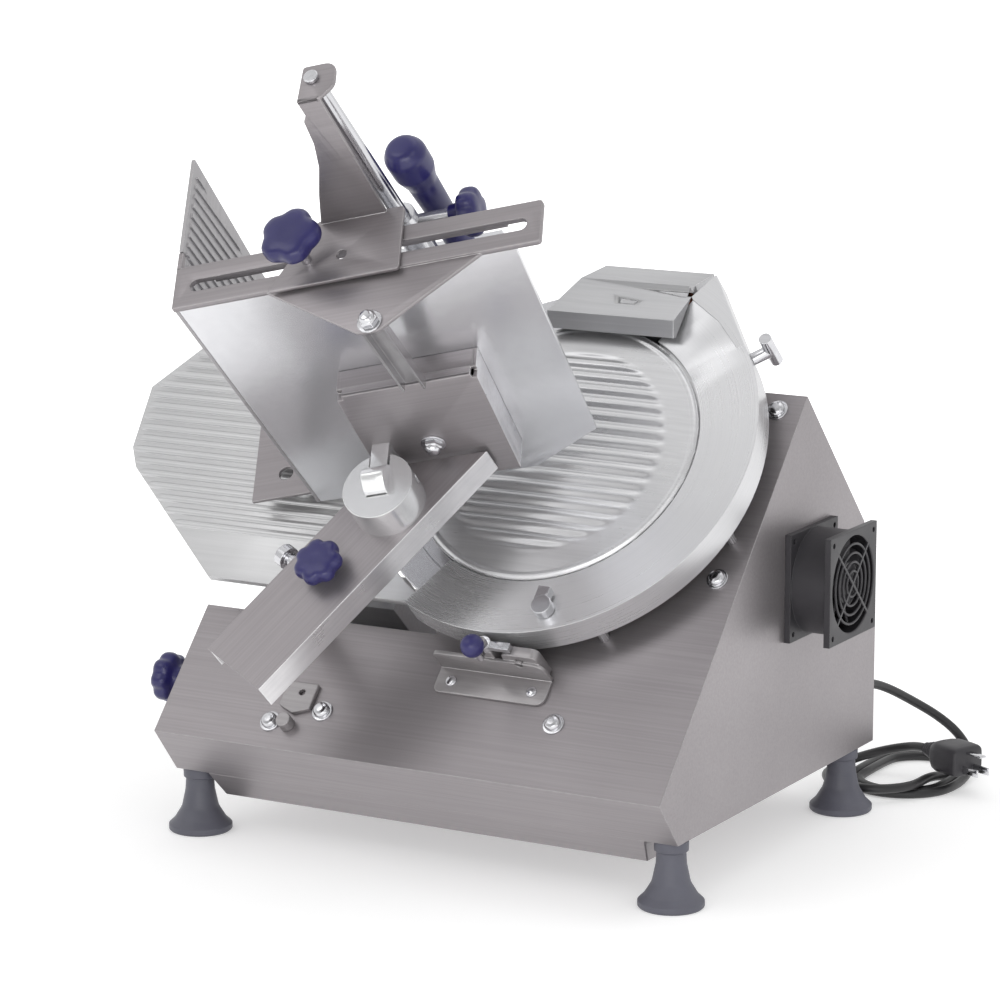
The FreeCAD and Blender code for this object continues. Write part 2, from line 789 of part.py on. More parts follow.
def make_sharpener():
    """The sharpener's hood, a shell that is open below, on its round post."""
    wall = float(s.wall)

    def section(side, drawn):
        low = float(s.house_floor_height) - (2 * wall if drawn else 0)
        front = (float(s.house_front_back) + drawn, low)
        lip = (float(s.house_front_back) + drawn, float(s.house_front_height) - drawn)
        ridge = (float(s.house_ridge_back), float(s.house_ridge_height) - drawn)
        roof = (float(s.house_roof_back) - drawn, float(s.house_roof_height) - drawn)
        rear = (float(s.house_rear_back) - drawn, low)
        near, middle, far = s.house_left_front, s.house_left_ridge, s.house_left_rear
        lefts = (near, near, middle, far, far)
        if side == "left":
            rights = [float(left) + drawn for left in lefts]
        else:
            rights = [float(s.house_right) - drawn] * 5
        return [Vector(right, back, up) for right, (back, up) in zip(rights, (front, lip, ridge, roof, rear))]

    def hood(drawn):
        left = section("left", drawn)
        right = section("right", drawn)
        faces = []
        count = len(left)
        for index in range(count):
            after = (index + 1) % count
            faces += [polygon_face([left[index], left[after], right[after]]),
                      polygon_face([left[index], right[after], right[index]])]
        for index in range(1, count - 1):
            faces += [polygon_face([left[0], left[index], left[index + 1]]),
                      polygon_face([right[0], right[index], right[index + 1]])]
        return Part.makeSolid(Part.makeShell(faces))

    def room(radius, low, top):
        disc = Part.makeCylinder(float(radius), float(top - low), point(s.hub_right, s.hub_along, low))
        disc.Placement = shift(0, 0, s.fold_height) * turn(RIGHT, s.incline_angle) * disc.Placement
        return disc

    gap = s.knife_room
    knife_room = room(s.knife_radius + gap, s.knife_face - s.knife_thick - gap, s.knife_face + gap)
    wall_start = Vector(float(s.house_right) - 1.5 * wall, 0, float(s.fold_height))
    right_wall = Part.makeBox(2 * wall, FAR, FAR, wall_start)
    ring_room = room(s.ring_radius + s.side_clear, s.ring_low - s.side_clear, s.ring_crease + s.side_clear)
    shell = hood(0.0).cut([hood(wall), knife_room, ring_room.common(right_wall)])
    roof = float(s.house_roof_height)
    crown_back, crown_up = side_place(s.incline_length, 0)
    shoulder = (float(s.shoulder_back), float(s.shoulder_height))
    foot = shoulder[1]
    post = Part.makeCylinder(float(s.post_radius), roof - foot,
                             Vector(float(s.post_right), float(s.post_back), foot))
    above = prism([(0.0, crown_back, crown_up), (0.0, *shoulder), (0.0, shoulder[0], roof),
                   (0.0, crown_back, roof)], Vector(float(s.house_right), 0, 0))
    axle_way = Part.makeCylinder(float(s.stone_axle_radius + s.running_gap), float(s.house_right),
                                 Vector(0, float(s.stone_back), float(s.stone_height)), RIGHT)
    post = post.common(above).cut(axle_way)
    keep = hood(0.0).fuse(Part.makeBox(FAR, FAR, float(s.house_floor_height), Vector()))
    post = post.common(keep)
    node("sharpener_housing", shaped("sharpener_housing", world, shell.fuse(post).removeSplitter()))


def make_stones():
    """Two small stones behind the knife's rim, on an axle between the hood's sides."""
    left = s.house_left_rear + s.wall
    stones = [rod("stone_axle", world, (left, s.stone_back, s.stone_height), s.stone_axle_radius,
                  s.house_right - s.wall - left, RIGHT)]
    for number, right in enumerate((s.stone_first, s.stone_second)):
        stones.append(rod("stone_%d" % number, world, (right, s.stone_back, s.stone_height),
                          s.stone_radius, s.stone_thick, RIGHT))
    node("sharpening_stones", fuse("sharpening_stones", stones))


make_knife_hub()
make_knife()
make_motor()
make_drive_belt()
make_knife_cover()
make_ring_guard()
make_sharpener()
make_stones()


# Small fittings of the ring guard and the incline.
fitting_sizes = {
    "bracket_upright_top": 24.0,
    "lug_reach_left": 16.0,
    "lug_reach_right": 46.0,
    "lug_thick": 8.0,
    "lug_top": 31.5,
    "latch_reach": 3.0,
    "latch_pin_radius": 3.0,
    "latch_eye_wall": 3.0,
    "latch_ball_radius": 9.0,
    "latch_ball_high": 44.0,
    "stud_reach": 45.0,
    "stud_below_hub": 140.0,
    "stud_radius": 8.0,
    "stud_low": 41.0,
    "stud_length": 9.0,
    "ring_latch_angle": 38.0,
}
s.add(fitting_sizes)
s.lug_left = s.hub_right + s.lug_reach_left
s.lug_right = s.hub_right + s.lug_reach_right
s.latch_right = s.hub_right + s.latch_reach
s.stud_right = s.hub_right + s.stud_reach
s.stud_along = s.hub_along - s.stud_below_hub


def make_guard_bracket():
    """A bent sheet on the incline, with a thick lug that holds the ring's wall."""
    left, right = s.bracket_left, s.bracket_right
    flange = box("bracket_flange", incline, (left, s.bracket_front, 0),
                 (right, s.bracket_fold, s.bracket_sheet))
    upright = box("bracket_upright", incline, (left, s.bracket_fold - s.bracket_sheet, 0),
                  (right, s.bracket_fold, s.bracket_upright_top))
    lug = box("bracket_lug", incline, (s.lug_left, s.bracket_fold, s.bracket_sheet),
              (s.lug_right, s.bracket_fold + s.lug_thick, s.lug_top))
    eye = rod("bracket_eye", incline, (s.lug_left + 14, s.bracket_fold - 10, s.lug_top - 9), 3.0, 40, BACK)
    pad = box("bracket_pad", incline, (s.latch_right - 10, s.bracket_fold, s.bracket_sheet),
              (s.latch_right + 6, s.bracket_fold + s.lug_thick, s.bracket_upright_top + 8))
    pin_foot = (s.latch_right, s.bracket_fold + s.lug_thick / 2, s.bracket_upright_top + 8)
    pin = rod("bracket_pin", incline, pin_foot, s.latch_pin_radius, 10)
    solid = cut("guard_bracket", fuse("bracket_blank", [flange, upright, lug, pad, pin]), [eye])
    node("guard_bracket", solid)


def make_latch_lever():
    """A lever on the bracket's pin, with a ball to hold it by."""
    low = s.bracket_upright_top + 8.2
    along = s.bracket_fold + s.lug_thick / 2
    eye = rod("latch_eye", incline, (s.latch_right, along, low), s.latch_pin_radius + s.latch_eye_wall, 6)
    bore = rod("latch_bore", incline, (s.latch_right, along, low), s.latch_pin_radius + s.pin_gap, 6)
    arm = box("latch_arm", incline, (s.latch_right + s.latch_pin_radius + 1, along - 3, low),
              (s.latch_right + 22, along + 3, low + 5))
    stem = rod("latch_stem", incline, (s.latch_right, along - s.latch_pin_radius - 7, low), 3.0,
               s.latch_ball_high - low)
    web = box("latch_web", incline, (s.latch_right - 2.4, along - s.latch_pin_radius - 8, low),
              (s.latch_right + 2.4, along - s.latch_pin_radius - 1, low + 5))
    node("latch_lever", cut("latch_lever", fuse("latch_blank", [eye, arm, web, stem]), [bore]))
    knob = ball("latch_knob", incline, (s.latch_right, along - s.latch_pin_radius - 7, s.latch_ball_high + 6),
                s.latch_ball_radius)
    hole = rod("latch_knob_hole", incline, (s.latch_right, along - s.latch_pin_radius - 7, low), 3.0,
               s.latch_ball_high - low)
    node("latch_ball", cut("latch_ball", knob, [hole]))


def make_ring_fittings():
    """The chrome stud at the ring's foot and the toggle at its right."""
    base = rod("stud_base", incline, (s.stud_right, s.stud_along, s.stud_low), s.stud_radius, s.stud_length)
    head = box("stud_head", incline, (s.stud_right - 8, s.stud_along + 4, s.stud_low),
               (s.stud_right + 2, s.stud_along + 16, s.stud_low + 8))
    stud = fuse("guard_stud", [base, head])
    angle = float(s.ring_latch_angle)
    way = ring_point(angle, 1.0)
    outer = float(s.ring_radius)
    spot = ring_point(angle, outer)
    high = float(s.ring_low) + 12
    stem = rod("latch_bar", hub_frame, (spot.x, spot.y, high), 5.0, 16, way)
    end = ring_point(angle, outer + 16)
    wing = rod("latch_wing", hub_frame, (end.x, end.y, high - 14), 5.0, 30)
    node("ring_fittings", group("ring_fittings", [stud, fuse("ring_latch", [stem, wing])]))


sheet_sizes = {
    "deflector_left": -74.0,
    "deflector_right": -12.0,
    "deflector_low": 205.0,
    "deflector_top": 300.0,
    "deflector_high": 14.0,
    "deflector_foot": -12.0,
    "stop_inset": 115.0,
    "stop_along": 44.0,
    "stop_half": 13.5,
    "stop_thick": 4.0,
}
s.add(sheet_sizes)
s.stop_right = s.stop_inset - half_width


def make_slice_deflector():
    """A curved sheet behind the knife's left edge, on the tower's left panel."""
    wall = float(s.wall)
    right = float(s.deflector_right)
    left = float(s.deflector_left)
    high = float(s.deflector_high)
    foot = float(s.deflector_foot)
    low = float(s.deflector_low)
    outer = [Vector(right, low, foot), Vector((left + right) / 2, low, high), Vector(left, low, foot + 6)]
    inner = [Vector(right, low, foot - wall), Vector((left + right) / 2, low, high - wall),
             Vector(left, low, foot + 6 - wall)]
    edges = [
        Part.Arc(*outer).toShape(),
        Part.makeLine(outer[2], inner[2]),
        Part.Arc(*inner[::-1]).toShape(),
        Part.makeLine(inner[0], outer[0]),
    ]
    face = Part.Face(Part.Wire(edges))
    sheet_solid = face.extrude(Vector(0, float(s.deflector_top) - low, 0))
    flange = Part.makeBox(wall, float(s.deflector_top) - low, 18, Vector(right - wall, low, foot - 18))
    node("slice_deflector", shaped("slice_deflector", incline, sheet_solid.fuse(flange).removeSplitter()))


def make_stop_plate():
    """A small shield shaped plate with a hole, where the arm comes to rest."""
    half = s.stop_half
    corners = [
        (s.stop_right - half, s.stop_along - half * 0.6), (s.stop_right, s.stop_along - half),
        (s.stop_right + half, s.stop_along - half * 0.6), (s.stop_right + half, s.stop_along + half),
        (s.stop_right - half, s.stop_along + half),
    ]
    body = plate("stop_shield", incline, corners, s.stop_thick)
    hole = rod("stop_hole", incline, (s.stop_right + 2, s.stop_along + 5, 0), 2.5, s.stop_thick)
    post = rod("stop_post", incline, (s.stop_right - 1.5, s.stop_along - half - 9, 0), 6.0, 10)
    node("stop_plate", group("stop_plate", [cut("stop_shield_bored", body, [hole]), post]))


# Carriage: the rod under the machine, its slide, the leg through the gap and the arm.
carriage_sizes = {
    "guide_back": 130.0,
    "guide_height": 135.0,
    "guide_radius": 10.0,
    "guide_inset": 8.0,
    "guide_bracket_thick": 12.0,
    "guide_bracket_half": 16.0,
    "rail_width": 12.0,
    "rail_height": 6.0,
    "block_left": 20.0,
    "block_right": 100.0,
    "block_half": 24.0,
    "block_low": 114.0,
    "block_top": 150.0,
    "link_left": -147.0,
    "link_front": 96.0,
    "link_thick": 10.0,
    "link_low": 120.0,
    "link_top": 156.0,
    "leg_width": 24.0,
    "leg_near": 116.5,
    "leg_far": 122.5,
    "leg_bend": 8.0,
    "leg_lean_right": 0.62,
    "leg_lean_along": -0.583,
    "arm_face": 112.0,
    "arm_sheet": 2.5,
    "arm_depth": 24.0,
    "arm_width": 64.0,
    "arm_long": 246.6,
    "arm_short": 188.0,
    "boss_across": 28.0,
    "boss_along": 159.0,
    "boss_radius": 28.0,
    "boss_top": 139.0,
    "pin_along": 168.0,
    "pin_high": 128.0,
    "pin_radius": 4.0,
    "lug_width": 16.0,
    "side_gap": 0.3,
    "knob_reach": 100.0,
    "knob_radius": 19.0,
    "knob_height": 20.0,
}
s.add(carriage_sizes)
s.guide_left = s.guide_inset - half_width
s.guide_right = half_width - s.guide_inset - s.wall
s.guide_bracket_left = s.wall - half_width
s.guide_bracket_right = half_width - s.wall - s.guide_bracket_thick


def make_guide():
    guide = rod("guide_rod", world, (s.guide_left, s.guide_back, s.guide_height), s.guide_radius,
                s.guide_right - s.guide_left, RIGHT)
    node("guide_rod", guide)
    brackets = []
    for name, left in (("left", s.guide_bracket_left), ("right", s.guide_bracket_right)):
        right = left + s.guide_bracket_thick
        body = box("guide_block_" + name, world,
                   (left, s.guide_back - s.guide_bracket_half, s.channel_floor),
                   (right, s.guide_back + s.guide_bracket_half, s.guide_height + s.guide_bracket_half))
        bore = rod("guide_seat_" + name, world, (s.guide_left, s.guide_back, s.guide_height), s.guide_radius,
                   s.guide_right - s.guide_left, RIGHT)
        brackets.append(cut("guide_bracket_" + name, body, [bore]))
    rail = box("steady_rail", world,
               (s.guide_bracket_left + s.guide_bracket_thick, s.guide_back - s.rail_width / 2,
                s.channel_floor),
               (s.guide_bracket_right, s.guide_back + s.rail_width / 2, s.channel_floor + s.rail_height))
    node("rod_brackets", group("rod_brackets", brackets + [rail]))


def make_carriage_slide():
    block = box("slide_block", world, (s.block_left, s.guide_back - s.block_half, s.block_low),
                (s.block_right, s.guide_back + s.block_half, s.block_top))
    link = box("slide_link", world, (s.link_left, s.link_front, s.link_low),
               (s.block_left + 10, s.link_front + s.link_thick, s.link_top))
    bore = rod("slide_bore", world, (s.block_left - 1, s.guide_back, s.guide_height),
               s.guide_radius + s.pin_gap, s.block_right - s.block_left + 2, RIGHT)
    slot = box("slide_slot", world,
               (s.block_left - 1, s.guide_back - s.rail_width / 2 - 0.5, s.block_low - 1),
               (s.block_right + 1, s.guide_back + s.rail_width / 2 + 0.5,
                s.channel_floor + s.rail_height + 0.5))
    node("carriage_slide", cut("carriage_slide", fuse("slide_blank", [block, link]), [bore, slot]))


def make_carriage_leg():
    """A bar from the slide up through the gap under the gauge, then out to the arm."""
    left = float(s.link_left)
    width = float(s.leg_width)
    near, far = float(s.leg_near), float(s.leg_far)
    bend = float(s.leg_bend)
    drop = -float(s.lip_depth)
    link_back = float(s.link_front + s.link_thick)
    link_top = float(s.link_top)
    outline = [
        (float(s.link_front), link_top), (link_back, link_top), (link_back - 2, link_top + 9),
        side_place(far, drop), side_place(far, bend), side_place(near, bend), side_place(near, drop - 0.5),
        (float(s.link_front) - 6, link_top + 1.5),
    ]
    foot = prism([(left, back, up) for back, up in outline], Vector(width, 0, 0))
    rise = float(s.arm_face - s.arm_sheet) - bend
    upper_face = polygon_face([(left, near, bend), (left + width, near, bend),
                               (left + width, far, bend), (left, far, bend)])
    upper = upper_face.extrude(Vector(rise * float(s.leg_lean_right), rise * float(s.leg_lean_along), rise))
    upper.Placement = shift(0, 0, s.fold_height) * turn(RIGHT, s.incline_angle)
    node("carriage_leg", shaped("carriage_leg", world, foot.fuse(upper).removeSplitter()))


def make_carriage_arm():
    """A trough of bent sheet, open below, cut off along the tray bracket."""
    outer_corners = [(0, 0), (s.arm_long, 0), (s.arm_short, s.arm_width), (0, s.arm_width)]
    thick = s.arm_sheet
    inner_corners = [(-1, thick), (s.arm_long + 20, thick), (s.arm_long + 20, s.arm_width - thick),
                     (-1, s.arm_width - thick)]
    low = s.arm_face - s.arm_depth
    outer = plate("arm_blank", arm_frame, outer_corners, s.arm_depth, lift=(0, 0, low))
    inner = plate("arm_hollow", arm_frame, inner_corners, s.arm_depth, lift=(0, 0, low - thick))
    node("carriage_arm", cut("carriage_arm", outer, [inner]))


def make_pivot_boss():
    body = rod("boss_body", carriage, (s.boss_across, s.boss_along, s.arm_face), s.boss_radius,
               s.boss_top - s.arm_face)
    half = s.lug_width / 2 + s.side_gap
    slot = box("boss_slot", carriage, (s.boss_across - half, s.pin_along - 18, s.arm_face),
               (s.boss_across + half, s.boss_along + s.boss_radius + 1, s.boss_top + 1))
    hole = rod("boss_pin_hole", carriage, (s.boss_across - s.boss_radius, s.pin_along, s.pin_high),
               s.pin_radius, s.boss_radius * 2, RIGHT)
    node("pivot_boss", cut("pivot_boss", body, [slot, hole]))
    reach = s.boss_radius - 4
    pin = rod("hinge_pin", carriage, (s.boss_across - reach, s.pin_along, s.pin_high), s.pin_radius,
              reach * 2, RIGHT)
    stud_low = rod("side_stud_stem", arm_frame, (93, s.arm_width, s.arm_face - 12), 5.0, 12, BACK)
    stud_head = rod("side_stud_head", arm_frame, (93, s.arm_width + 12, s.arm_face - 12), 9.0, 8, BACK)
    node("arm_fittings", group("arm_fittings", [pin, fuse("arm_side_stud", [stud_low, stud_head])]))


def star_knob(name, frame, place, radius, height, lobes=6):
    """A lobed hand knob on a short hub, seated at a place of its frame."""
    radius = float(radius)
    height = float(height)
    core = Part.makeCylinder(radius * 0.72, height * 0.7, Vector(0, 0, height * 0.3))
    hub = Part.makeCone(radius * 0.42, radius * 0.5, height * 0.35)
    pieces = [hub]
    for number in range(lobes):
        spot = ring_point(360.0 * number / lobes, radius * 0.74, height * 0.3)
        pieces.append(Part.makeCylinder(radius * 0.26, height * 0.7, spot))
    solid = core.fuse(pieces).removeSplitter()
    return shaped(name, frame * shift(*place), solid)


def make_arm_knob():
    place = (s.knob_reach, s.arm_width / 2, s.arm_face + s.running_gap)
    node("arm_knob", star_knob("arm_knob", arm_frame, place, s.knob_radius, s.knob_height))


make_guard_bracket()
make_latch_lever()
make_ring_fittings()
make_slice_deflector()
make_stop_plate()
make_guide()
make_carriage_slide()
make_carriage_leg()
make_carriage_arm()
make_pivot_boss()
make_arm_knob()


# Gauge: a ribbed plate beside the knife that slides back to set the slice.
gauge_sizes = {
    "gauge_top_left": -297.0,
    "gauge_top": 341.0,
    "gauge_tip_right": -336.0,
    "gauge_tip_along": 290.0,
    "gauge_side_right": -329.0,
    "gauge_side_along": 232.0,
    "gauge_corner_right": -318.0,
    "gauge_corner_along": 214.0,
    "gauge_low_left": -209.0,
    "gauge_low": 124.0,
    "gauge_gap": 2.0,
    "gauge_thick": 6.0,
    "gauge_rib_pitch": 10.5,
    "gauge_rib_first": 168.0,
    "gauge_rib_last": 328.0,
    "gauge_rib_width": 4.0,
    "gauge_rib_height": 1.0,
    "gauge_rib_margin": 7.0,
    "gauge_rod_radius": 8.0,
    "gauge_rod_first": -138.0,
    "gauge_rod_second": -107.0,
    "gauge_rod_along": 175.0,
    "gauge_rod_end": -104.0,
    "gauge_travel": 15.0,
    "bearing_left": -152.0,
    "bearing_right": -93.0,
    "bearing_half": 15.0,
    "bearing_low": -100.0,
    "bearing_top": -56.0,
    "pedestal_front": 169.0,
    "pedestal_back": 222.0,
}
s.add(gauge_sizes)


def gauge_corners(margin):
    """The plate's outline, or the ribs' own outline when drawn in by a margin."""
    return [
        (s.gauge_low_left, s.gauge_low + margin), (s.hub_right, s.gauge_low + margin),
        (s.hub_right, s.gauge_top - margin), (s.gauge_top_left + margin, s.gauge_top - margin),
        (s.gauge_tip_right + margin, s.gauge_tip_along), (s.gauge_side_right + margin, s.gauge_side_along),
        (s.gauge_corner_right + margin, s.gauge_corner_along),
    ]


def ribs_across(first, last, pitch, width):
    """Where evenly spaced ribs begin between two limits."""
    count = int((float(last) - float(first)) / float(pitch)) + 1
    return [float(first) + number * float(pitch) - float(width) / 2 for number in range(count)]


def make_gauge_plate():
    back = s.knife_face - s.gauge_thick
    blank = plate("gauge_blank", incline, gauge_corners(0), s.gauge_thick, lift=(0, 0, back))
    zone = [(float(a), float(b), float(s.knife_face) - 1) for a, b in gauge_corners(s.gauge_rib_margin)]
    zone = prism(zone, Vector(0, 0, float(s.gauge_rib_height) + 1))
    ribs = []
    for low in ribs_across(s.gauge_rib_first, s.gauge_rib_last, s.gauge_rib_pitch, s.gauge_rib_width):
        bar = Part.makeBox(500, float(s.gauge_rib_width), float(s.gauge_rib_height) + 1,
                           Vector(-400, low, float(s.knife_face) - 1))
        ribs.append(bar.common(zone))
    ribs = shaped("gauge_ribs", incline, Part.makeCompound(ribs))
    sweep = rod("gauge_sweep", hub_frame, (0, 0, back - 1), s.knife_radius + s.gauge_gap,
                s.gauge_thick + s.gauge_rib_height + 2)
    node("gauge_plate", cut("gauge_plate", fuse("gauge_ribbed", [blank, ribs]), [sweep]))


def make_gauge_carrier():
    places = (s.gauge_rod_first, s.gauge_rod_second)
    top = s.knife_face - s.gauge_thick
    rods = [rod("gauge_rod_%d" % number, incline, (across, s.gauge_rod_along, s.gauge_rod_end),
                s.gauge_rod_radius, top - s.gauge_rod_end) for number, across in enumerate(places)]
    node("gauge_rods", group("gauge_rods", rods))
    low_along = s.gauge_rod_along - s.bearing_half
    high_along = s.gauge_rod_along + s.bearing_half
    body = box("bearing_body", incline, (s.bearing_left, low_along, s.bearing_low),
               (s.bearing_right, high_along, s.bearing_top))
    deck = float(s.deck_height)
    shoulder = side_place(high_along, s.bearing_low)
    belly = side_place(low_along, s.bearing_low)
    foot = [
        (float(s.bearing_left), float(s.pedestal_front), deck),
        (float(s.bearing_left), float(s.pedestal_back), deck),
        (float(s.bearing_left), *shoulder), (float(s.bearing_left), belly[0] - 8, belly[1] + 9),
    ]
    breadth = Vector(float(s.bearing_right - s.bearing_left), 0, 0)
    pedestal = shaped("bearing_pedestal", world, prism(foot, breadth))
    bores = [rod("bearing_bore_%d" % number, incline,
                 (across, s.gauge_rod_along, s.gauge_rod_end - s.gauge_travel - 2),
                 s.gauge_rod_radius + s.pin_gap, top - s.gauge_rod_end)
             for number, across in enumerate(places)]
    node("gauge_bearing", cut("gauge_bearing", fuse("bearing_blank", [body, pedestal]), bores))


dial_sizes = {
    "dial_radius": 20.0,
    "dial_length": 24.0,
    "dial_gap": 4.0,
    "dial_shaft_reach": 60.0,
}
s.add(dial_sizes)
s.dial_shaft_end = s.dial_shaft_reach - half_width


def make_thickness_knob():
    """The slice thickness knob on the left end, with its shaft into the housing."""
    face = -half_width - s.dial_gap
    place = (face, s.dial_back, s.dial_height)
    shaft = rod("dial_shaft", world, place, s.dial_shaft_radius, s.dial_shaft_end - face, RIGHT)
    handle = star_knob("dial_handle", world * shift(*place) * Placement(Vector(), Rotation(UP, -RIGHT)),
                       (0, 0, 0), s.dial_radius, s.dial_length, 8)
    node("thickness_knob", group("thickness_knob", [handle, shaft]))


# Product tray, in the carriage's frame: across, along and away from the knife.
tray_sizes = {
    "tray_under": 221.0,
    "tray_sheet": 3.0,
    "tray_left": -64.0,
    "tray_near": 46.0,
    "tray_near_right": 115.5,
    "tray_corner_right": 176.0,
    "tray_corner_high": 80.0,
    "tray_far_right": 199.0,
    "tray_rib_pitch": 12.0,
    "tray_rib_width": 4.0,
    "tray_rib_height": 1.2,
    "bar_low": 305.0,
    "bar_thick": 5.0,
    "bar_left": -67.5,
    "bar_right": 218.5,
    "bar_front": 220.3,
    "bar_back": 257.0,
    "slot_left": -55.0,
    "slot_right": 207.5,
    "slot_front": 233.0,
    "slot_back": 243.4,
    "tab_back": 271.0,
    "tab_width": 9.0,
    "gusset_thick": 3.0,
    "gusset_right": 174.0,
    "apex_left": 82.0,
    "apex_right": 100.0,
    "apex_front": 169.0,
    "wall_far": 357.0,
    "wall_bend_high": 204.0,
    "wall_bend_far": 343.0,
    "wall_near_far": 335.0,
    "wall_top": 311.0,
    "guard_left": -122.0,
    "guard_front": 229.0,
    "guard_back": 330.0,
    "guard_high": 50.0,
    "guard_hole_radius": 6.0,
    "bracket_face": 197.0,
    "bracket_near": 80.0,
    "bracket_far": 203.0,
    "bracket_near_left": 10.0,
    "bracket_near_right": 117.0,
    "bracket_far_left": 18.0,
    "bracket_far_right": 129.0,
    "tray_lug_front": 160.0,
    "tray_lug_low": 116.0,
    "tray_lug_top": 140.0,
    "nut_radius": 7.5,
    "nut_height": 10.0,
    "nut_across": 66.0,
    "nut_high": 129.0,
    "gusset_nut_across": 92.0,
    "gusset_nut_along": 177.0,
    "strut_width": 18.0,
    "strut_depth": 9.0,
}
s.add(tray_sizes)


def tray_corners():
    return [
        (s.tray_left, s.tray_near), (s.tray_near_right, s.tray_near),
        (s.tray_corner_right, s.tray_corner_high), (s.tray_far_right, s.bar_low),
        (s.tray_left, s.bar_low),
    ]


def make_tray():
    """The tray's floor, with ribs on its upper side that run towards the knife."""
    floor = plate("tray_floor", carriage, tray_corners(), s.tray_sheet, plane="XZ_Plane",
                  lift=(0, s.tray_under, 0), reverse=True)
    top = s.tray_under + s.tray_sheet
    margin = 14
    zone_corners = [(s.tray_left + margin, s.tray_near + margin), (s.tray_near_right, s.tray_near + margin),
                    (s.tray_corner_right - margin, s.tray_corner_high + margin),
                    (s.tray_far_right - margin, s.bar_low - margin),
                    (s.tray_left + margin, s.bar_low - margin)]
    zone = prism([(float(a), float(top) - 1, float(b)) for a, b in zone_corners],
                 Vector(0, float(s.tray_rib_height) + 1, 0))
    ribs = []
    for left in ribs_across(s.tray_left + margin, s.tray_far_right - margin, s.tray_rib_pitch, s.tray_rib_width):
        bar = Part.makeBox(float(s.tray_rib_width), float(s.tray_rib_height) + 1, 300,
                           Vector(left, float(top) - 1, 20))
        ribs.append(bar.common(zone))
    ribs = shaped("tray_ribs", carriage, Part.makeCompound([rib for rib in ribs if rib.Volume > 1]))
    node("tray", fuse("tray", [floor, ribs]))


def make_slotted_bar():
    """The thick bar across the tray's far end, its long slot and its gusset."""
    bar = box("bar_blank", carriage, (s.bar_left, s.bar_front, s.bar_low),
              (s.bar_right, s.bar_back, s.bar_low + s.bar_thick))
    tab = box("bar_tab", carriage, (s.bar_left, s.bar_back - 1, s.bar_low),
              (s.bar_left + s.tab_width * 0.4, s.tab_back, s.bar_low + s.bar_thick))
    low = s.bar_low - 1
    middle = (s.slot_front + s.slot_back) / 2
    half = (s.slot_back - s.slot_front) / 2
    through = s.bar_thick + 2
    slot = box("bar_slot", carriage, (s.slot_left + half, s.slot_front, low),
               (s.slot_right - half, s.slot_back, low + through))
    ends = [rod("bar_slot_left", carriage, (s.slot_left + half, middle, low), half, through),
            rod("bar_slot_right", carriage, (s.slot_right - half, middle, low), half, through)]
    corners = [(s.tray_left + s.tray_sheet, s.bar_front + 1), (s.apex_left, s.apex_front),
               (s.apex_right, s.apex_front), (s.gusset_right, s.bar_front + 1)]
    gusset = plate("bar_gusset", carriage, corners, s.gusset_thick, lift=(0, 0, s.bar_low))
    node("slotted_bar", cut("slotted_bar", fuse("bar_sheet", [bar, tab, gusset]), [slot] + ends))


def make_end_wall():
    """The tray's upright side, ribbed towards the food, with a flange for the hand."""
    top_notch = s.bar_low
    corners = [
        (s.tray_under, s.tray_near), (s.wall_near_far, s.tray_near), (s.wall_bend_far, s.wall_bend_high),
        (s.wall_far, s.wall_top), (s.tab_back + s.side_gap, s.wall_top), (s.tab_back + s.side_gap, top_notch),
        (s.tray_under, top_notch),
    ]
    sheet_body = plate("wall_sheet", carriage, corners, s.tray_sheet, plane="YZ_Plane",
                       lift=(s.tray_left - s.tray_sheet, 0, 0))
    flange = box("wall_flange", carriage, (s.guard_left, s.guard_front, s.guard_high - s.tray_sheet),
                 (s.tray_left - 1, s.guard_back, s.guard_high))
    holes = [rod("wall_hole_%d" % number, carriage,
                 (s.guard_left + 27, along, s.guard_high - s.tray_sheet - 1), s.guard_hole_radius,
                 s.tray_sheet + 2)
             for number, along in enumerate((s.guard_front + 22, s.guard_back - 22))]
    ribs = []
    margin = 12
    zone = prism([(float(s.tray_left) - 1, float(a), float(b)) for a, b in (
        (s.tray_under + margin, s.tray_near + margin), (s.wall_near_far - margin, s.tray_near + margin),
        (s.wall_bend_far - margin, s.wall_bend_high), (s.wall_far - margin, s.wall_top - 6),
        (s.tray_under + margin, s.wall_top - 6))], Vector(float(s.tray_rib_height) + 1, 0, 0))
    for along in ribs_across(s.tray_under + margin + 4, s.wall_far - margin, s.tray_rib_pitch * 0.75,
                             s.tray_rib_width):
        bar = Part.makeBox(float(s.tray_rib_height) + 1, float(s.tray_rib_width), 300,
                           Vector(float(s.tray_left) - 1, along, 20))
        ribs.append(bar.common(zone))
    clear = box("wall_rib_clear", carriage, (s.tray_left, s.tray_under, s.bar_low - 4),
                (s.tray_left + 5, s.tab_back + 1, s.wall_top))
    ribs = shaped("wall_ribs", carriage, Part.makeCompound([rib for rib in ribs if rib.Volume > 1]))
    ribs = cut("wall_ribs_trimmed", ribs, [clear])
    node("end_wall", cut("end_wall", fuse("wall_blank", [sheet_body, flange, ribs]), holes))


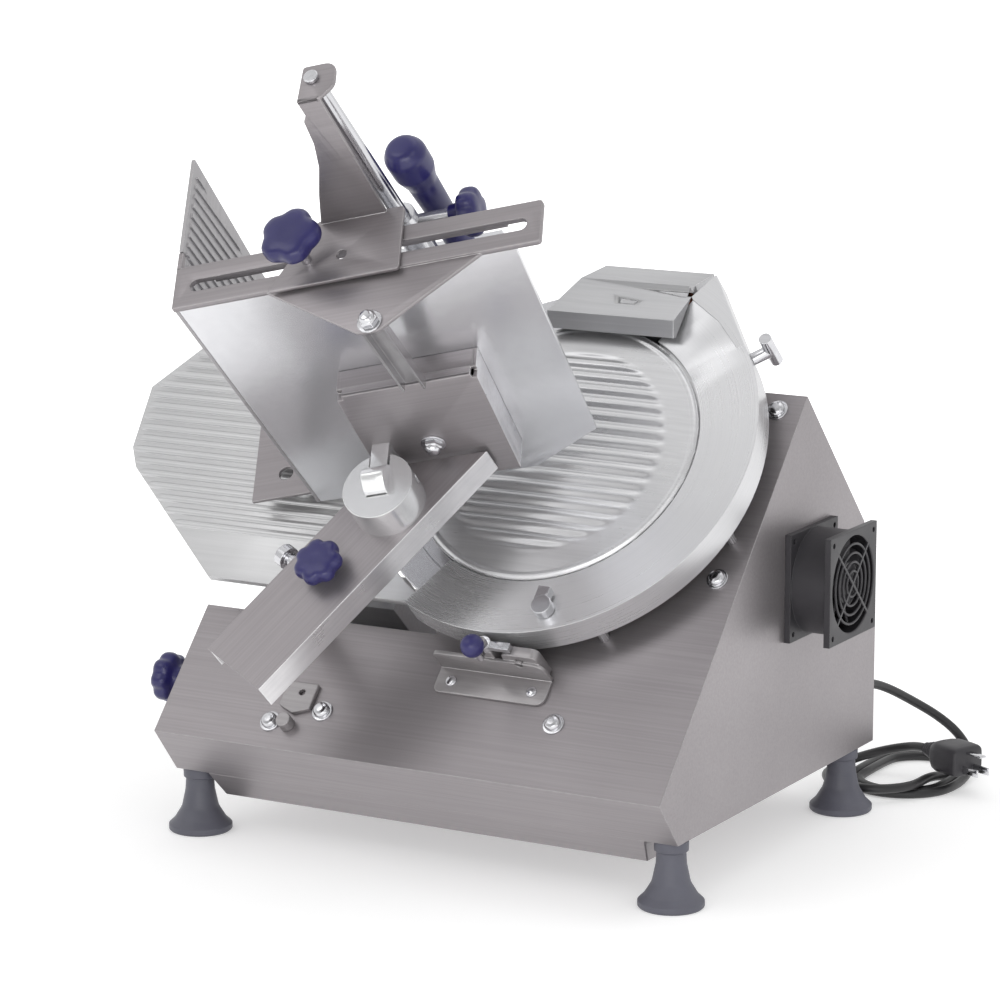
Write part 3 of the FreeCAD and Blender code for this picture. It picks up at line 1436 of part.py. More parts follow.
def make_tray_bracket():
    """A shallow box of sheet under the tray, with the lug of the tilting hinge."""
    corners = [(s.bracket_near_left, s.bracket_near), (s.bracket_near_right, s.bracket_near),
               (s.bracket_far_right, s.bracket_far), (s.bracket_far_left, s.bracket_far)]
    wall = s.tray_sheet
    inner = [(s.bracket_near_left + wall, s.bracket_near + wall),
             (s.bracket_near_right - wall, s.bracket_near + wall),
             (s.bracket_far_right - wall, s.bracket_far - wall),
             (s.bracket_far_left + wall, s.bracket_far - wall)]
    depth = s.tray_under - s.bracket_face
    outer = plate("bracket_box", carriage, corners, depth, plane="XZ_Plane", lift=(0, s.bracket_face, 0),
                  reverse=True)
    hollow = plate("bracket_hollow", carriage, inner, depth, plane="XZ_Plane",
                   lift=(0, s.bracket_face + wall, 0), reverse=True)
    reliefs = [rod("bracket_relief_%d" % number, carriage, (across, s.bracket_face - 1, s.bracket_far),
                   4.0, 8, BACK)
               for number, across in enumerate((s.bracket_far_left, s.bracket_far_right))]
    half = s.lug_width / 2
    lug = box("tray_lug", carriage, (s.boss_across - half, s.tray_lug_front, s.tray_lug_low),
              (s.boss_across + half, s.bracket_face + 1, s.tray_lug_top))
    eye = rod("tray_lug_eye", carriage, (s.boss_across - half - 1, s.pin_along, s.pin_high),
              s.pin_radius + s.pin_gap, s.lug_width + 2, RIGHT)
    shell = cut("bracket_shell", outer, [hollow] + reliefs)
    node("tray_bracket", cut("tray_bracket", fuse("bracket_with_lug", [shell, lug]), [eye]))


def acorn_nut(name, frame, place, axis):
    """A washer and a domed nut, seated on a face that looks along the axis."""
    washer = rod(name + "_washer", frame, place, s.nut_radius + 2, s.washer_thick, axis)
    body = cone(name + "_dome", frame, place, (s.nut_radius, s.nut_radius * 0.55), s.nut_height, axis)
    return fuse(name, [washer, body])


def make_tray_fittings():
    first = acorn_nut("acorn_one", carriage, (s.nut_across, s.bracket_face, s.nut_high), -BACK)
    second = acorn_nut("acorn_two", carriage, (s.gusset_nut_across, s.gusset_nut_along,
                                               s.bar_low + s.gusset_thick), UP)
    node("acorn_nuts", group("acorn_nuts", [first, second]))
    start = point(s.gusset_nut_across, s.gusset_nut_along, s.bar_low)
    end = point(s.bracket_far_left + 64, s.bracket_face - 2, s.bracket_far + 2)
    way = end - start
    length = way.Length
    half = float(s.strut_width) / 2
    depth = float(s.strut_depth)
    wall = float(s.wall)
    channel = Part.makeBox(2 * half, depth, length, Vector(-half, -depth / 2, 0))
    hollow_start = Vector(wall - half, wall - depth / 2, 0)
    channel = channel.cut(Part.makeBox(2 * half - 2 * wall, depth, length, hollow_start))
    channel.Placement = Placement(start, Rotation(RIGHT, Vector(0, 1, 0), way, "ZXY"))
    keep = Part.makeBox(200, 90, float(s.bar_low - s.bracket_far), Vector(0, 140, float(s.bracket_far)))
    above = Part.makeBox(200, float(s.tray_under) - 100, 200, Vector(0, 100, float(s.bracket_far)))
    channel = channel.common(keep).common(above)
    node("tray_strut", shaped("tray_strut", carriage, channel))


# Pusher: a bracket clamped in the bar's slot, its rod, and the plate that rides on it.
pusher_sizes = {
    "clamp_seat": 1.0,
    "clamp_sheet": 3.0,
    "clamp_left": 10.0,
    "clamp_right": 113.0,
    "clamp_front": 216.0,
    "clamp_back": 272.0,
    "clamp_stud_across": 40.0,
    "clamp_stud_radius": 4.0,
    "clamp_knob_radius": 23.0,
    "clamp_knob_low": 327.0,
    "clamp_knob_height": 24.0,
    "clamp_hole_across": 67.0,
    "clamp_hole_radius": 4.0,
    "pusher_arm_top": 446.0,
    "pusher_tab_left": 87.0,
    "pusher_tab_right": 115.0,
    "pusher_tab_back": 300.0,
    "pusher_rod_across": 97.0,
    "pusher_rod_along": 288.0,
    "pusher_rod_radius": 6.25,
    "pusher_rod_low": 60.0,
    "pusher_sleeve_radius": 11.0,
    "pusher_sleeve_top": 286.0,
    "pusher_plate_low": 195.0,
    "pusher_plate_thick": 5.0,
    "pusher_plate_left": 0.0,
    "pusher_plate_right": 140.0,
    "pusher_plate_front": 228.0,
    "pusher_plate_back": 328.0,
    "handle_across": 114.0,
    "handle_along": 311.0,
    "handle_top": 334.0,
    "handle_radius": 16.0,
    "handle_neck": 11.0,
    "side_knob_across": 132.0,
    "side_knob_high": 274.0,
    "side_knob_radius": 18.5,
    "side_knob_length": 24.0,
}
s.add(pusher_sizes)


def make_pusher_bracket():
    """One bent sheet: the clamped foot, a waisted arm and the tab that holds the rod."""
    low = s.bar_low + s.bar_thick + s.clamp_seat
    foot = plate("clamp_foot", carriage, [
        (s.clamp_left, s.clamp_front), (s.clamp_right, s.clamp_front), (s.clamp_right, s.clamp_back),
        (s.clamp_left + 36, s.clamp_back)], s.clamp_sheet, lift=(0, 0, low))
    arm = plate("clamp_arm", carriage, [
        (47, low), (88, low), (98.5, s.pusher_arm_top), (s.pusher_tab_left, s.pusher_arm_top),
        (80, 400), (74, 375), (63, 348)], s.clamp_sheet, plane="XZ_Plane",
        lift=(0, s.clamp_back - s.clamp_sheet, 0), reverse=True)
    tab_low = s.pusher_arm_top - s.clamp_sheet
    tab = plate("clamp_tab", carriage, [
        (s.pusher_tab_left, s.clamp_back - s.clamp_sheet), (98.5, s.clamp_back - s.clamp_sheet),
        (s.pusher_tab_right - 3, s.clamp_back + 8), (s.pusher_tab_right, s.pusher_tab_back - 8),
        (s.pusher_tab_right - 8, s.pusher_tab_back), (s.pusher_tab_left + 2, s.pusher_tab_back)],
        s.clamp_sheet, lift=(0, 0, tab_low))
    hole = rod("clamp_hole", carriage, (s.clamp_hole_across, (s.slot_front + s.slot_back) / 2, low - 1),
               s.clamp_hole_radius, s.clamp_sheet + 2)
    node("pusher_bracket", cut("pusher_bracket", fuse("clamp_sheet_metal", [foot, arm, tab]), [hole]))
    screw = rod("rod_screw", carriage, (s.pusher_rod_across, s.pusher_rod_along, s.pusher_arm_top), 5.5, 3.5)
    bar = rod("rod_bar", carriage, (s.pusher_rod_across, s.pusher_rod_along, s.pusher_rod_low),
              s.pusher_rod_radius, tab_low - s.pusher_rod_low)
    node("pusher_rod", group("pusher_rod", [bar, screw]))


def make_clamp_knob():
    """A lobed knob whose stud goes through the slot to a nut under the bar."""
    middle = (s.slot_front + s.slot_back) / 2
    low = s.bar_low + s.bar_thick + s.clamp_seat + s.clamp_sheet
    stud = rod("clamp_stud", carriage, (s.clamp_stud_across, middle, low), s.clamp_stud_radius,
               s.clamp_knob_low + 2 - low)
    head = star_knob("clamp_head", carriage, (s.clamp_stud_across, middle, s.clamp_knob_low),
                     s.clamp_knob_radius, s.clamp_knob_height, 5)
    node("clamp_knob", fuse("clamp_knob", [stud, head]))


def make_pusher():
    place = (s.pusher_rod_across, s.pusher_rod_along)
    low = s.pusher_plate_low
    top = low + s.pusher_plate_thick
    board = box("pusher_board", carriage, (s.pusher_plate_left, s.pusher_plate_front, low),
                (s.pusher_plate_right, s.pusher_plate_back, top))
    sleeve = rod("pusher_sleeve", carriage, (*place, top), s.pusher_sleeve_radius, s.pusher_sleeve_top - top)
    bore = rod("pusher_bore", carriage, (*place, low - 15), s.pusher_rod_radius + s.pin_gap,
               s.pusher_sleeve_top - low + 30)
    stem = rod("pusher_stem", carriage, (s.pusher_rod_across, s.pusher_rod_along, s.side_knob_high), 6.0,
               s.side_knob_across - s.pusher_rod_across, RIGHT)
    teeth = []
    for number in range(12):
        across = s.pusher_plate_left + 8 + number * 11.2
        teeth.append(cone("pusher_tooth_%d" % number, carriage, (across, s.pusher_plate_front + 60, low - 8),
                          (0.6, 3.0), 8.5))
    blank = fuse("pusher_blank", [board, sleeve, stem] + teeth)
    node("pusher_plate", cut("pusher_plate", blank, [bore]))
    grip_place = (s.handle_across, s.handle_along, top)
    crown = s.handle_top - s.handle_radius
    grip = cone("handle_grip", carriage, grip_place, (s.handle_neck, s.handle_radius), crown - top)
    cap = ball("handle_cap", carriage, (s.handle_across, s.handle_along, crown), s.handle_radius)
    node("pusher_handle", fuse("pusher_handle", [grip, cap]))
    knob = star_knob("pusher_knob", carriage * shift(s.side_knob_across, s.pusher_rod_along, s.side_knob_high)
                     * Placement(Vector(), Rotation(UP, RIGHT)), (0, 0, 0), s.side_knob_radius,
                     s.side_knob_length, 6)
    node("pusher_knob", knob)


make_gauge_plate()
make_gauge_carrier()
make_thickness_knob()
make_tray()
make_slotted_bar()
make_end_wall()
make_tray_bracket()
make_tray_fittings()
make_pusher_bracket()
make_clamp_knob()
make_pusher()


# Electric parts: the fan on the right side, the switch on the left, the mains cord.
electric_sizes = {
    "fan_flange": 5.0,
    "fan_body_radius": 41.0,
    "fan_bore_radius": 38.5,
    "fan_hub_radius": 17.0,
    "fan_blade_reach": 36.0,
    "fan_blade_thick": 2.0,
    "fan_axle_radius": 2.5,
    "grille_wire": 1.0,
    "switch_front": 225.0,
    "switch_back": 325.0,
    "switch_low": 70.0,
    "switch_top": 112.0,
    "switch_thick": 8.0,
    "button_radius": 11.0,
    "button_proud": 7.0,
    "button_gap": 0.3,
    "cord_radius": 3.75,
    "relief_length": 25.0,
    "gland_collar": 4.0,
}
s.add(electric_sizes)


def make_fan():
    """An axial fan: flanges, duct and struts in one moulding, a wire guard, a rotor."""
    left = float(half_width)
    depth = float(s.fan_depth)
    half = float(s.fan_side) / 2
    flange = float(s.fan_flange)
    back, high = float(s.fan_back), float(s.fan_height)
    bore = float(s.fan_bore_radius)
    plates = [Part.makeBox(flange, 2 * half, 2 * half, Vector(start, back - half, high - half))
              for start in (left, left + depth - flange)]
    centre = Vector(left, back, high)
    duct = Part.makeCylinder(float(s.fan_body_radius), depth, centre, RIGHT)
    frame = duct.fuse(plates).cut(Part.makeCylinder(bore, depth, centre, RIGHT))
    hub = Part.makeCylinder(float(s.fan_hub_radius) - 2, flange, Vector(left, back, high), RIGHT)
    axle = Part.makeCylinder(float(s.fan_axle_radius), depth - flange - 4, Vector(left, back, high), RIGHT)
    struts = [Part.makeBox(flange - 1, 4, 2 * bore + 1, Vector(left, back - 2, high - bore - 0.5)),
              Part.makeBox(flange - 1, 2 * bore + 1, 4, Vector(left, back - bore - 0.5, high - 2))]
    wire = float(s.grille_wire)
    face = left + depth - wire
    middle = Vector(face, back, high)
    wires = [Part.makeTorus(radius, wire, middle, RIGHT) for radius in (10, 17, 24, 31, bore)]
    for angle in (45, 135):
        spoke = Part.makeBox(2 * wire, 2 * bore + 1, 2 * wire, Vector(face - wire, -bore - 0.5, -wire))
        spoke.rotate(Vector(), RIGHT, angle)
        spoke.translate(Vector(0, back, high))
        wires.append(spoke)
    reach = half - 6
    holes = [Part.makeCylinder(2.2, depth, Vector(left, back + side * reach, high + up * reach), RIGHT)
             for side in (-1, 1) for up in (-1, 1)]
    frame = frame.fuse([hub, axle] + struts + wires).cut(holes)
    node("fan_frame", shaped("fan_frame", world, frame.removeSplitter()))
    start = left + flange + 1
    length = depth - flange - 5
    core = Part.makeCylinder(float(s.fan_hub_radius), length, Vector(start, 0, 0), RIGHT)
    blades = []
    for number in range(7):
        blade = Part.makeBox(length * 0.95, float(s.fan_blade_thick), float(s.fan_blade_reach) - 10,
                             Vector(-length * 0.475, -float(s.fan_blade_thick) / 2, 10))
        blade.rotate(Vector(), UP, 38)
        blade.translate(Vector(start + length / 2, 0, 0))
        blade.rotate(Vector(), RIGHT, number * 360.0 / 7)
        blades.append(blade)
    reach = Part.makeCylinder(float(s.fan_blade_reach), length, Vector(start, 0, 0), RIGHT)
    rotor = core.fuse(blades).common(reach)
    axle_way = Part.makeCylinder(float(s.fan_axle_radius + s.pin_gap), depth, Vector(start - 1, 0, 0), RIGHT)
    rotor = rotor.cut(axle_way)
    node("fan_rotor", shaped("fan_rotor", world * shift(0, s.fan_back, s.fan_height), rotor))


def make_switch():
    left = -half_width - s.switch_thick
    body = box("switch_body", world, (left, s.switch_front, s.switch_low),
               (-half_width, s.switch_back, s.switch_top))
    middle = (s.switch_low + s.switch_top) / 2
    holes = []
    for name, back in (("start_button", s.switch_front + 27), ("stop_button", s.switch_back - 27)):
        holes.append(rod(name + "_hole", world, (left - 1, back, middle), s.button_radius + s.button_gap,
                         s.switch_thick + 1, RIGHT))
        start = left - s.button_proud
        length = s.button_proud + s.switch_thick - 4
        node(name, rod(name, world, (start, back, middle), s.button_radius, length, RIGHT))
    node("switch_plate", cut("switch_plate", body, holes))


def make_cord_gland():
    place = (s.gland_right, s.rear_back, s.gland_height)
    collar = rod("gland_collar", world, place, s.gland_radius + 4, s.gland_collar, BACK)
    relief = cone("gland_relief", world, (place[0], place[1] + s.gland_collar, place[2]),
                  (s.gland_radius + 1, s.cord_radius + 1), s.relief_length, BACK)
    node("cord_gland", fuse("cord_gland", [collar, relief]))


def rounded_path(name, corners):
    """Straight runs joined by tangent arcs, as large as the runs allow."""
    corners = [Vector(*corner) for corner in corners]
    edges = []
    radii = []
    start = corners[0]
    for before, corner, after in zip(corners, corners[1:], corners[2:]):
        into = (corner - before).normalize()
        away = (after - corner).normalize()
        reach = 0.45 * min(before.distanceToPoint(corner), corner.distanceToPoint(after))
        half = into.getAngle(away) / 2
        radii.append(reach / math.tan(half))
        enter = corner - into * reach
        leave = corner + away * reach
        inward = (away - into).normalize()
        middle = corner + inward * (radii[-1] / math.cos(half) - radii[-1])
        edges.append(Part.makeLine(start, enter))
        edges.append(Part.Arc(enter, middle, leave).toShape())
        start = leave
    edges.append(Part.makeLine(start, corners[-1]))
    print(name, "radii", ", ".join("%.0f" % radius for radius in radii))
    return Part.Wire(edges)


def tube(name, path, way):
    """A round tube along a path that starts in the given direction."""
    start = path.Edges[0].Vertexes[0].Point
    circle = Part.Wire([Part.makeCircle(float(s.cord_radius), start, way)])
    shell = Part.BRepOffsetAPI.MakePipeShell(path)
    shell.add(circle)
    shell.build()
    shell.makeSolid()
    solid = shell.shape()
    expected = math.pi * float(s.cord_radius) ** 2 * path.Length
    print(name, "length %.0f volume share %.4f" % (path.Length, solid.Volume / expected))
    return solid


# The cord's route, chosen by hand: from the gland down to the coil, then on to the plug.
LEAD_ROUTE = [
    (196, 404, 88), (197, 418, 86.5), (202, 443, 77.5), (212, 470, 62), (226, 490, 47),
    (242, 496, 33.5), (256, 489.5, 20.5), (263, 475, 9.5), (264, 458.5, 3.75), (264, 443.5, 3.75),
]
TAIL_ROUTE = [
    (168, 416, 11.75), (168, 430.5, 12), (177.4, 448, 15), (194, 458.8, 20),
    (213.7, 460.3, 25.2), (227.4, 454.2, 28.3), (234.2, 451.2, 28.3),
]
coil_sizes = {
    "coil_right": 264.0,
    "coil_front": 436.0,
    "coil_back": 481.5,
    "coil_first_radius": 44.0,
    "coil_pitch": 8.5,
    "coil_rise": 8.0,
    "coil_top_front": 408.5,
    "coil_top_radius": 39.5,
}
s.add(coil_sizes)


def coil_path():
    """Two turns that lie on the floor and wind inwards, then one more half turn on top."""
    high = float(s.cord_radius)
    place = Vector(float(s.coil_right), float(s.coil_front) + 7.5, high)
    heading = -1
    edges = []

    def run(place, back):
        end = Vector(place.x, back, place.z)
        edges.append(Part.makeLine(place, end))
        return end

    def half_turn(place, heading, radius):
        middle = Vector(place.x + heading * radius, place.y + heading * radius, place.z)
        end = Vector(place.x + 2 * heading * radius, place.y, place.z)
        edges.append(Part.Arc(place, middle, end).toShape())
        return end, -heading

    radius = float(s.coil_first_radius)
    for number in range(4):
        level = float(s.coil_front) if heading < 0 else float(s.coil_back)
        place = run(place, level)
        place, heading = half_turn(place, heading, radius)
        radius -= float(s.coil_pitch) / 2
    place = run(place, place.y - 6)
    rise = float(s.coil_rise)
    end = Vector(place.x, float(s.coil_top_front) + 7, place.z + rise)
    length = place.y - end.y
    lean = 2 * math.atan(rise / length)
    bend = length / (2 * math.sin(lean))
    centre = (place + end) * 0.5
    low_middle = place + Vector(0, -bend * math.sin(lean / 2), bend - bend * math.cos(lean / 2))
    high_middle = end - Vector(0, -bend * math.sin(lean / 2), bend - bend * math.cos(lean / 2))
    edges.append(Part.Arc(place, low_middle, centre).toShape())
    edges.append(Part.Arc(centre, high_middle, end).toShape())
    place = run(end, float(s.coil_top_front))
    place, heading = half_turn(place, -1, float(s.coil_top_radius))
    run(place, place.y + 7.5)
    return Part.Wire(edges)


def least_gap(path, samples=700):
    """The smallest distance between turns of a path, less the tube's diameter."""
    places = path.discretize(samples)
    step = path.Length / (samples - 1)
    apart = int(40 / step)
    nearest = min(places[one].distanceToPoint(places[two])
                  for one in range(samples) for two in range(one + apart, samples))
    return nearest - 2 * float(s.cord_radius)


def make_cord():
    lead = tube("lead", rounded_path("lead", LEAD_ROUTE), Vector(*LEAD_ROUTE[1]) - Vector(*LEAD_ROUTE[0]))
    node("mains_cord", shaped("mains_cord", world, lead))
    path = coil_path()
    print("coil least gap %.2f" % least_gap(path))
    node("cord_coil", shaped("cord_coil", world, tube("coil", path, -BACK)))
    tail = tube("tail", rounded_path("tail", TAIL_ROUTE), Vector(*TAIL_ROUTE[1]) - Vector(*TAIL_ROUTE[0]))
    node("cord_tail", shaped("cord_tail", world, tail))


plug_sizes = {
    "plug_relief": 14.0,
    "plug_length": 36.0,
    "plug_rear_radius": 9.0,
    "plug_width": 32.0,
    "plug_height": 25.0,
    "prong_length": 17.0,
    "prong_width": 6.3,
    "prong_thick": 1.8,
    "prong_spread": 12.0,
}
s.add(plug_sizes)


def make_plug():
    """A three pin plug that lies on the coil; its relief tapers to the cord."""
    end = Vector(*TAIL_ROUTE[-1])
    way = (end - Vector(*TAIL_ROUTE[-2])).normalize()
    frame = world * Placement(end, Rotation(way, way.cross(UP) * -1, UP, "XZY"))
    radii = (s.cord_radius + 1, s.plug_rear_radius)
    relief = cone("plug_relief", frame, (0, 0, 0), radii, s.plug_relief, RIGHT)
    half_wide = s.plug_width / 2
    half_high = s.plug_height / 2
    body = box("plug_body", frame, (s.plug_relief, -half_wide, -half_high),
               (s.plug_relief + s.plug_length, half_wide, half_high))
    tip = s.plug_relief + s.plug_length
    prongs = []
    for number, (side, up, wide) in enumerate(((-0.5, -0.25, 0), (0.5, -0.25, 0), (0, 0.28, 1))):
        centre_side = s.prong_spread * side
        centre_up = s.plug_height * up
        half_side = s.prong_width / 2 if wide else s.prong_thick / 2
        half_up = s.prong_thick / 2 if wide else s.prong_width / 2
        prongs.append(box("plug_prong_%d" % number, frame,
                          (tip - 4, centre_side - half_side, centre_up - half_up),
                          (tip + s.prong_length, centre_side + half_side, centre_up + half_up)))
    node("mains_plug", fuse("mains_plug", [relief, body] + prongs))


make_fan()
make_switch()
make_cord_gland()
make_cord()
make_plug()


def faulty(piece):
    """The reason why a piece can't be kept, or nothing."""
    if "Invalid" in piece.State or "Error" in piece.State:
        return "state " + ", ".join(piece.State)
    if piece in nodes and piece.Shape.isNull():
        return "no shape"
    if piece in nodes and not piece.Shape.isValid():
        return "shape not valid"
    return ""


def write_parts():
    doc.recompute()
    faults = [(piece.Label, faulty(piece)) for piece in doc.Objects if faulty(piece)]
    if faults:
        raise RuntimeError("faults: %s" % faults)
    os.makedirs("parts", exist_ok=True)
    for piece in nodes:
        piece.Shape.exportStep("parts/%s.step" % piece.Label)
    print("wrote", len(nodes), "sub-parts")


write_parts()
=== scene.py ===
import math
import json

import bmesh
import bpy
from mathutils import Matrix, Vector


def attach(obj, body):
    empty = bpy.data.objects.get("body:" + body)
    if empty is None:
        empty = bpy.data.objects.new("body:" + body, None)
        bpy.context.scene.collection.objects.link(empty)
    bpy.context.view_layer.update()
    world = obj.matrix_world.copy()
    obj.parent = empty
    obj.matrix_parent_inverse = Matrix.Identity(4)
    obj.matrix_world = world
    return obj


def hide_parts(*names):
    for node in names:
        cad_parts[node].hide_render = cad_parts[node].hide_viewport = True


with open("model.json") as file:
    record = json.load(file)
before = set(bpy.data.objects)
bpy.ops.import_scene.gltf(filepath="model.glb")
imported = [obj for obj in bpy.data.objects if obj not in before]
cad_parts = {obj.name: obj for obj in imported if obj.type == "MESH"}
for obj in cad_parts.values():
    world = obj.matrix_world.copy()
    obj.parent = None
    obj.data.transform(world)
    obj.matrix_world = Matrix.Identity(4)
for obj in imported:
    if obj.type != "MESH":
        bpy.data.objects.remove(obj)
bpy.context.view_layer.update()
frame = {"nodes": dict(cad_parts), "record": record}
nodes = frame["nodes"]
scene = bpy.context.scene
print("frame loaded with", len(nodes), "nodes")

# Local frames: the slope that carries the knife, the carriage turned on it, the arm, the knife's axis.
slope = {"origin": (0.039, -0.118, 0.088), "lean": 47.6, "carriageTurn": 17.0,
         "armStart": (-0.0668, -0.006, 0.0), "armTurn": 64.0, "hub": (0.050, 0.266, 0.0)}


def turned(degrees, axis):
    return Matrix.Rotation(math.radians(degrees), 4, axis)


world = Matrix.Translation((slope["origin"][0], slope["origin"][1], 0))
incline = Matrix.Translation(slope["origin"]) @ turned(slope["lean"], "X")
carriage = incline @ turned(slope["carriageTurn"], "Z")
armFrame = incline @ Matrix.Translation(slope["armStart"]) @ turned(slope["armTurn"], "Z")
knifeFrame = incline @ Matrix.Translation(slope["hub"])

# Camera, at the photograph's place.
view = {"place": (1.509, -2.561, 0.870), "pitch": 78.54, "heading": 29.5, "lens": 142.0, "sensor": 36.0}


def makeCamera():
    camera = bpy.data.cameras.new("camera")
    camera.lens = view["lens"]
    camera.sensor_width = view["sensor"]
    camera.clip_start = 0.05
    camera.clip_end = 60
    seen = bpy.data.objects.new("camera", camera)
    seen.location = view["place"]
    seen.rotation_euler = (math.radians(view["pitch"]), 0, math.radians(view["heading"]))
    scene.collection.objects.link(seen)
    scene.camera = seen


makeCamera()


# Shader helpers: each takes the tree and gives back a socket.
def link(tree, source, target):
    tree.links.new(source, target)


# Gives a socket its value, which is a number, a colour or another node's output.
def feed(tree, value, socket):
    if isinstance(value, bpy.types.NodeSocket):
        link(tree, value, socket)
    elif isinstance(value, tuple):
        socket.default_value = (*value, 1.0)
    else:
        socket.default_value = value


def mathNode(tree, operation, first, second=None, clamp=False):
    node = tree.nodes.new("ShaderNodeMath")
    node.operation = operation
    node.use_clamp = clamp
    feed(tree, first, node.inputs[0])
    if second is not None:
        feed(tree, second, node.inputs[1])
    return node.outputs[0]


def rampNode(tree, source, fromLow, fromHigh, toLow, toHigh):
    node = tree.nodes.new("ShaderNodeMapRange")
    ends = {"Value": source, "From Min": fromLow, "From Max": fromHigh, "To Min": toLow, "To Max": toHigh}
    for title, value in ends.items():
        feed(tree, value, node.inputs[title])
    return node.outputs["Result"]


def noiseNode(tree, place, scale, detail=2.0, roughness=0.5):
    node = tree.nodes.new("ShaderNodeTexNoise")
    for title, value in {"Vector": place, "Scale": scale, "Detail": detail, "Roughness": roughness}.items():
        feed(tree, value, node.inputs[title])
    return node.outputs["Fac"]


def mixColours(tree, factor, first, second):
    node = tree.nodes.new("ShaderNodeMix")
    node.data_type = "RGBA"
    feed(tree, factor, node.inputs["Factor"])
    colours = [socket for socket in node.inputs if socket.type == "RGBA"]
    feed(tree, first, colours[0])
    feed(tree, second, colours[1])
    return [socket for socket in node.outputs if socket.type == "RGBA"][0]


# A node group that takes a place and some numbers, and puts out values, or a normal under that name.
def newGroup(name, numbers, outputs):
    group = bpy.data.node_groups.new(name, "ShaderNodeTree")
    group.interface.new_socket("Place", in_out="INPUT", socket_type="NodeSocketVector")
    for title, value in numbers.items():
        group.interface.new_socket(title, in_out="INPUT", socket_type="NodeSocketFloat").default_value = value
    for title in outputs:
        kind = "NodeSocketVector" if title == "Normal" else "NodeSocketFloat"
        group.interface.new_socket(title, in_out="OUTPUT", socket_type=kind)
    return group, group.nodes.new("NodeGroupInput").outputs, group.nodes.new("NodeGroupOutput").inputs


# Long fine scratches along one direction of the given place.
def makeGrainGroup():
    group, source, target = newGroup("brushedGrain", {"Fineness": 900.0, "Length": 0.02}, ("Grain", "Streak"))
    split = group.nodes.new("ShaderNodeSeparateXYZ")
    link(group, source["Place"], split.inputs[0])
    joined = group.nodes.new("ShaderNodeCombineXYZ")
    link(group, mathNode(group, "MULTIPLY", split.outputs["X"], source["Length"]), joined.inputs["X"])
    link(group, split.outputs["Y"], joined.inputs["Y"])
    link(group, split.outputs["Z"], joined.inputs["Z"])
    link(group, noiseNode(group, joined.outputs[0], source["Fineness"], 3.0, 0.65), target["Grain"])
    coarse = mathNode(group, "MULTIPLY", source["Fineness"], 0.35)
    link(group, noiseNode(group, joined.outputs[0], coarse, 2.0, 0.5), target["Streak"])
    return group


# Soft patches, as fingers, cloths and uneven polish leave them.
def makePatchGroup():
    group, source, target = newGroup("softPatches", {"Scale": 9.0}, ("Value",))
    broad = noiseNode(group, source["Place"], source["Scale"], 4.0, 0.55)
    link(group, rampNode(group, broad, 0.32, 0.68, 0.0, 1.0), target["Value"])
    return group


# Bright rims, partly real wear and partly a painted highlight on rounded edges: where a rounded normal leaves the
# face's own.
def makeEdgeGroup():
    group, source, target = newGroup("edgeWearAndHighlight", {"Amount": 1.0}, ("Mask", "Normal"))
    rounded = group.nodes.new("ShaderNodeBevel")
    rounded.samples = 4
    rounded.inputs["Radius"].default_value = 0.0009
    plain = group.nodes.new("ShaderNodeNewGeometry")
    dot = group.nodes.new("ShaderNodeVectorMath")
    dot.operation = "DOT_PRODUCT"
    link(group, rounded.outputs["Normal"], dot.inputs[0])
    link(group, plain.outputs["Normal"], dot.inputs[1])
    mask = rampNode(group, dot.outputs["Value"], 0.995, 0.80, 0.0, 1.0)
    broken = rampNode(group, noiseNode(group, source["Place"], 160.0, 3.0), 0.35, 0.6, 0.4, 1.0)
    link(group, mathNode(group, "MULTIPLY", mathNode(group, "MULTIPLY", mask, broken), source["Amount"], True),
         target["Mask"])
    link(group, rounded.outputs["Normal"], target["Normal"])
    return group


# Fine moulded texture for plastics and rubber.
def makePebbleGroup():
    group, source, target = newGroup("pebbledSkin", {"Scale": 1400.0}, ("Height",))
    cells = group.nodes.new("ShaderNodeTexVoronoi")
    cells.feature = "SMOOTH_F1"
    link(group, source["Place"], cells.inputs["Vector"])
    link(group, source["Scale"], cells.inputs["Scale"])
    fine = noiseNode(group, source["Place"], source["Scale"], 2.0)
    link(group, mathNode(group, "ADD", cells.outputs["Distance"], mathNode(group, "MULTIPLY", fine, 0.5)),
         target["Height"])
    return group


# Rings left by turning on a lathe, about the Z axis of the given place.
def makeTurnedGroup():
    group, source, target = newGroup("turnedRings", {"Fineness": 700.0}, ("Grain",))
    split = group.nodes.new("ShaderNodeSeparateXYZ")
    link(group, source["Place"], split.inputs[0])
    square = mathNode(group, "ADD", mathNode(group, "MULTIPLY", split.outputs["X"], split.outputs["X"]),
                      mathNode(group, "MULTIPLY", split.outputs["Y"], split.outputs["Y"]))
    joined = group.nodes.new("ShaderNodeCombineXYZ")
    link(group, mathNode(group, "SQRT", square), joined.inputs["X"])
    link(group, split.outputs["Z"], joined.inputs["Y"])
    link(group, noiseNode(group, joined.outputs[0], source["Fineness"], 3.0, 0.6), target["Grain"])
    return group


groups = {"grain": makeGrainGroup(), "patches": makePatchGroup(), "edge": makeEdgeGroup(),
          "pebble": makePebbleGroup(), "turned": makeTurnedGroup()}


def useGroup(tree, kind, place, **values):
    node = tree.nodes.new("ShaderNodeGroup")
    node.node_tree = groups[kind]
    link(tree, place, node.inputs["Place"])
    for title, value in values.items():
        node.inputs[title].default_value = value
    return node.outputs


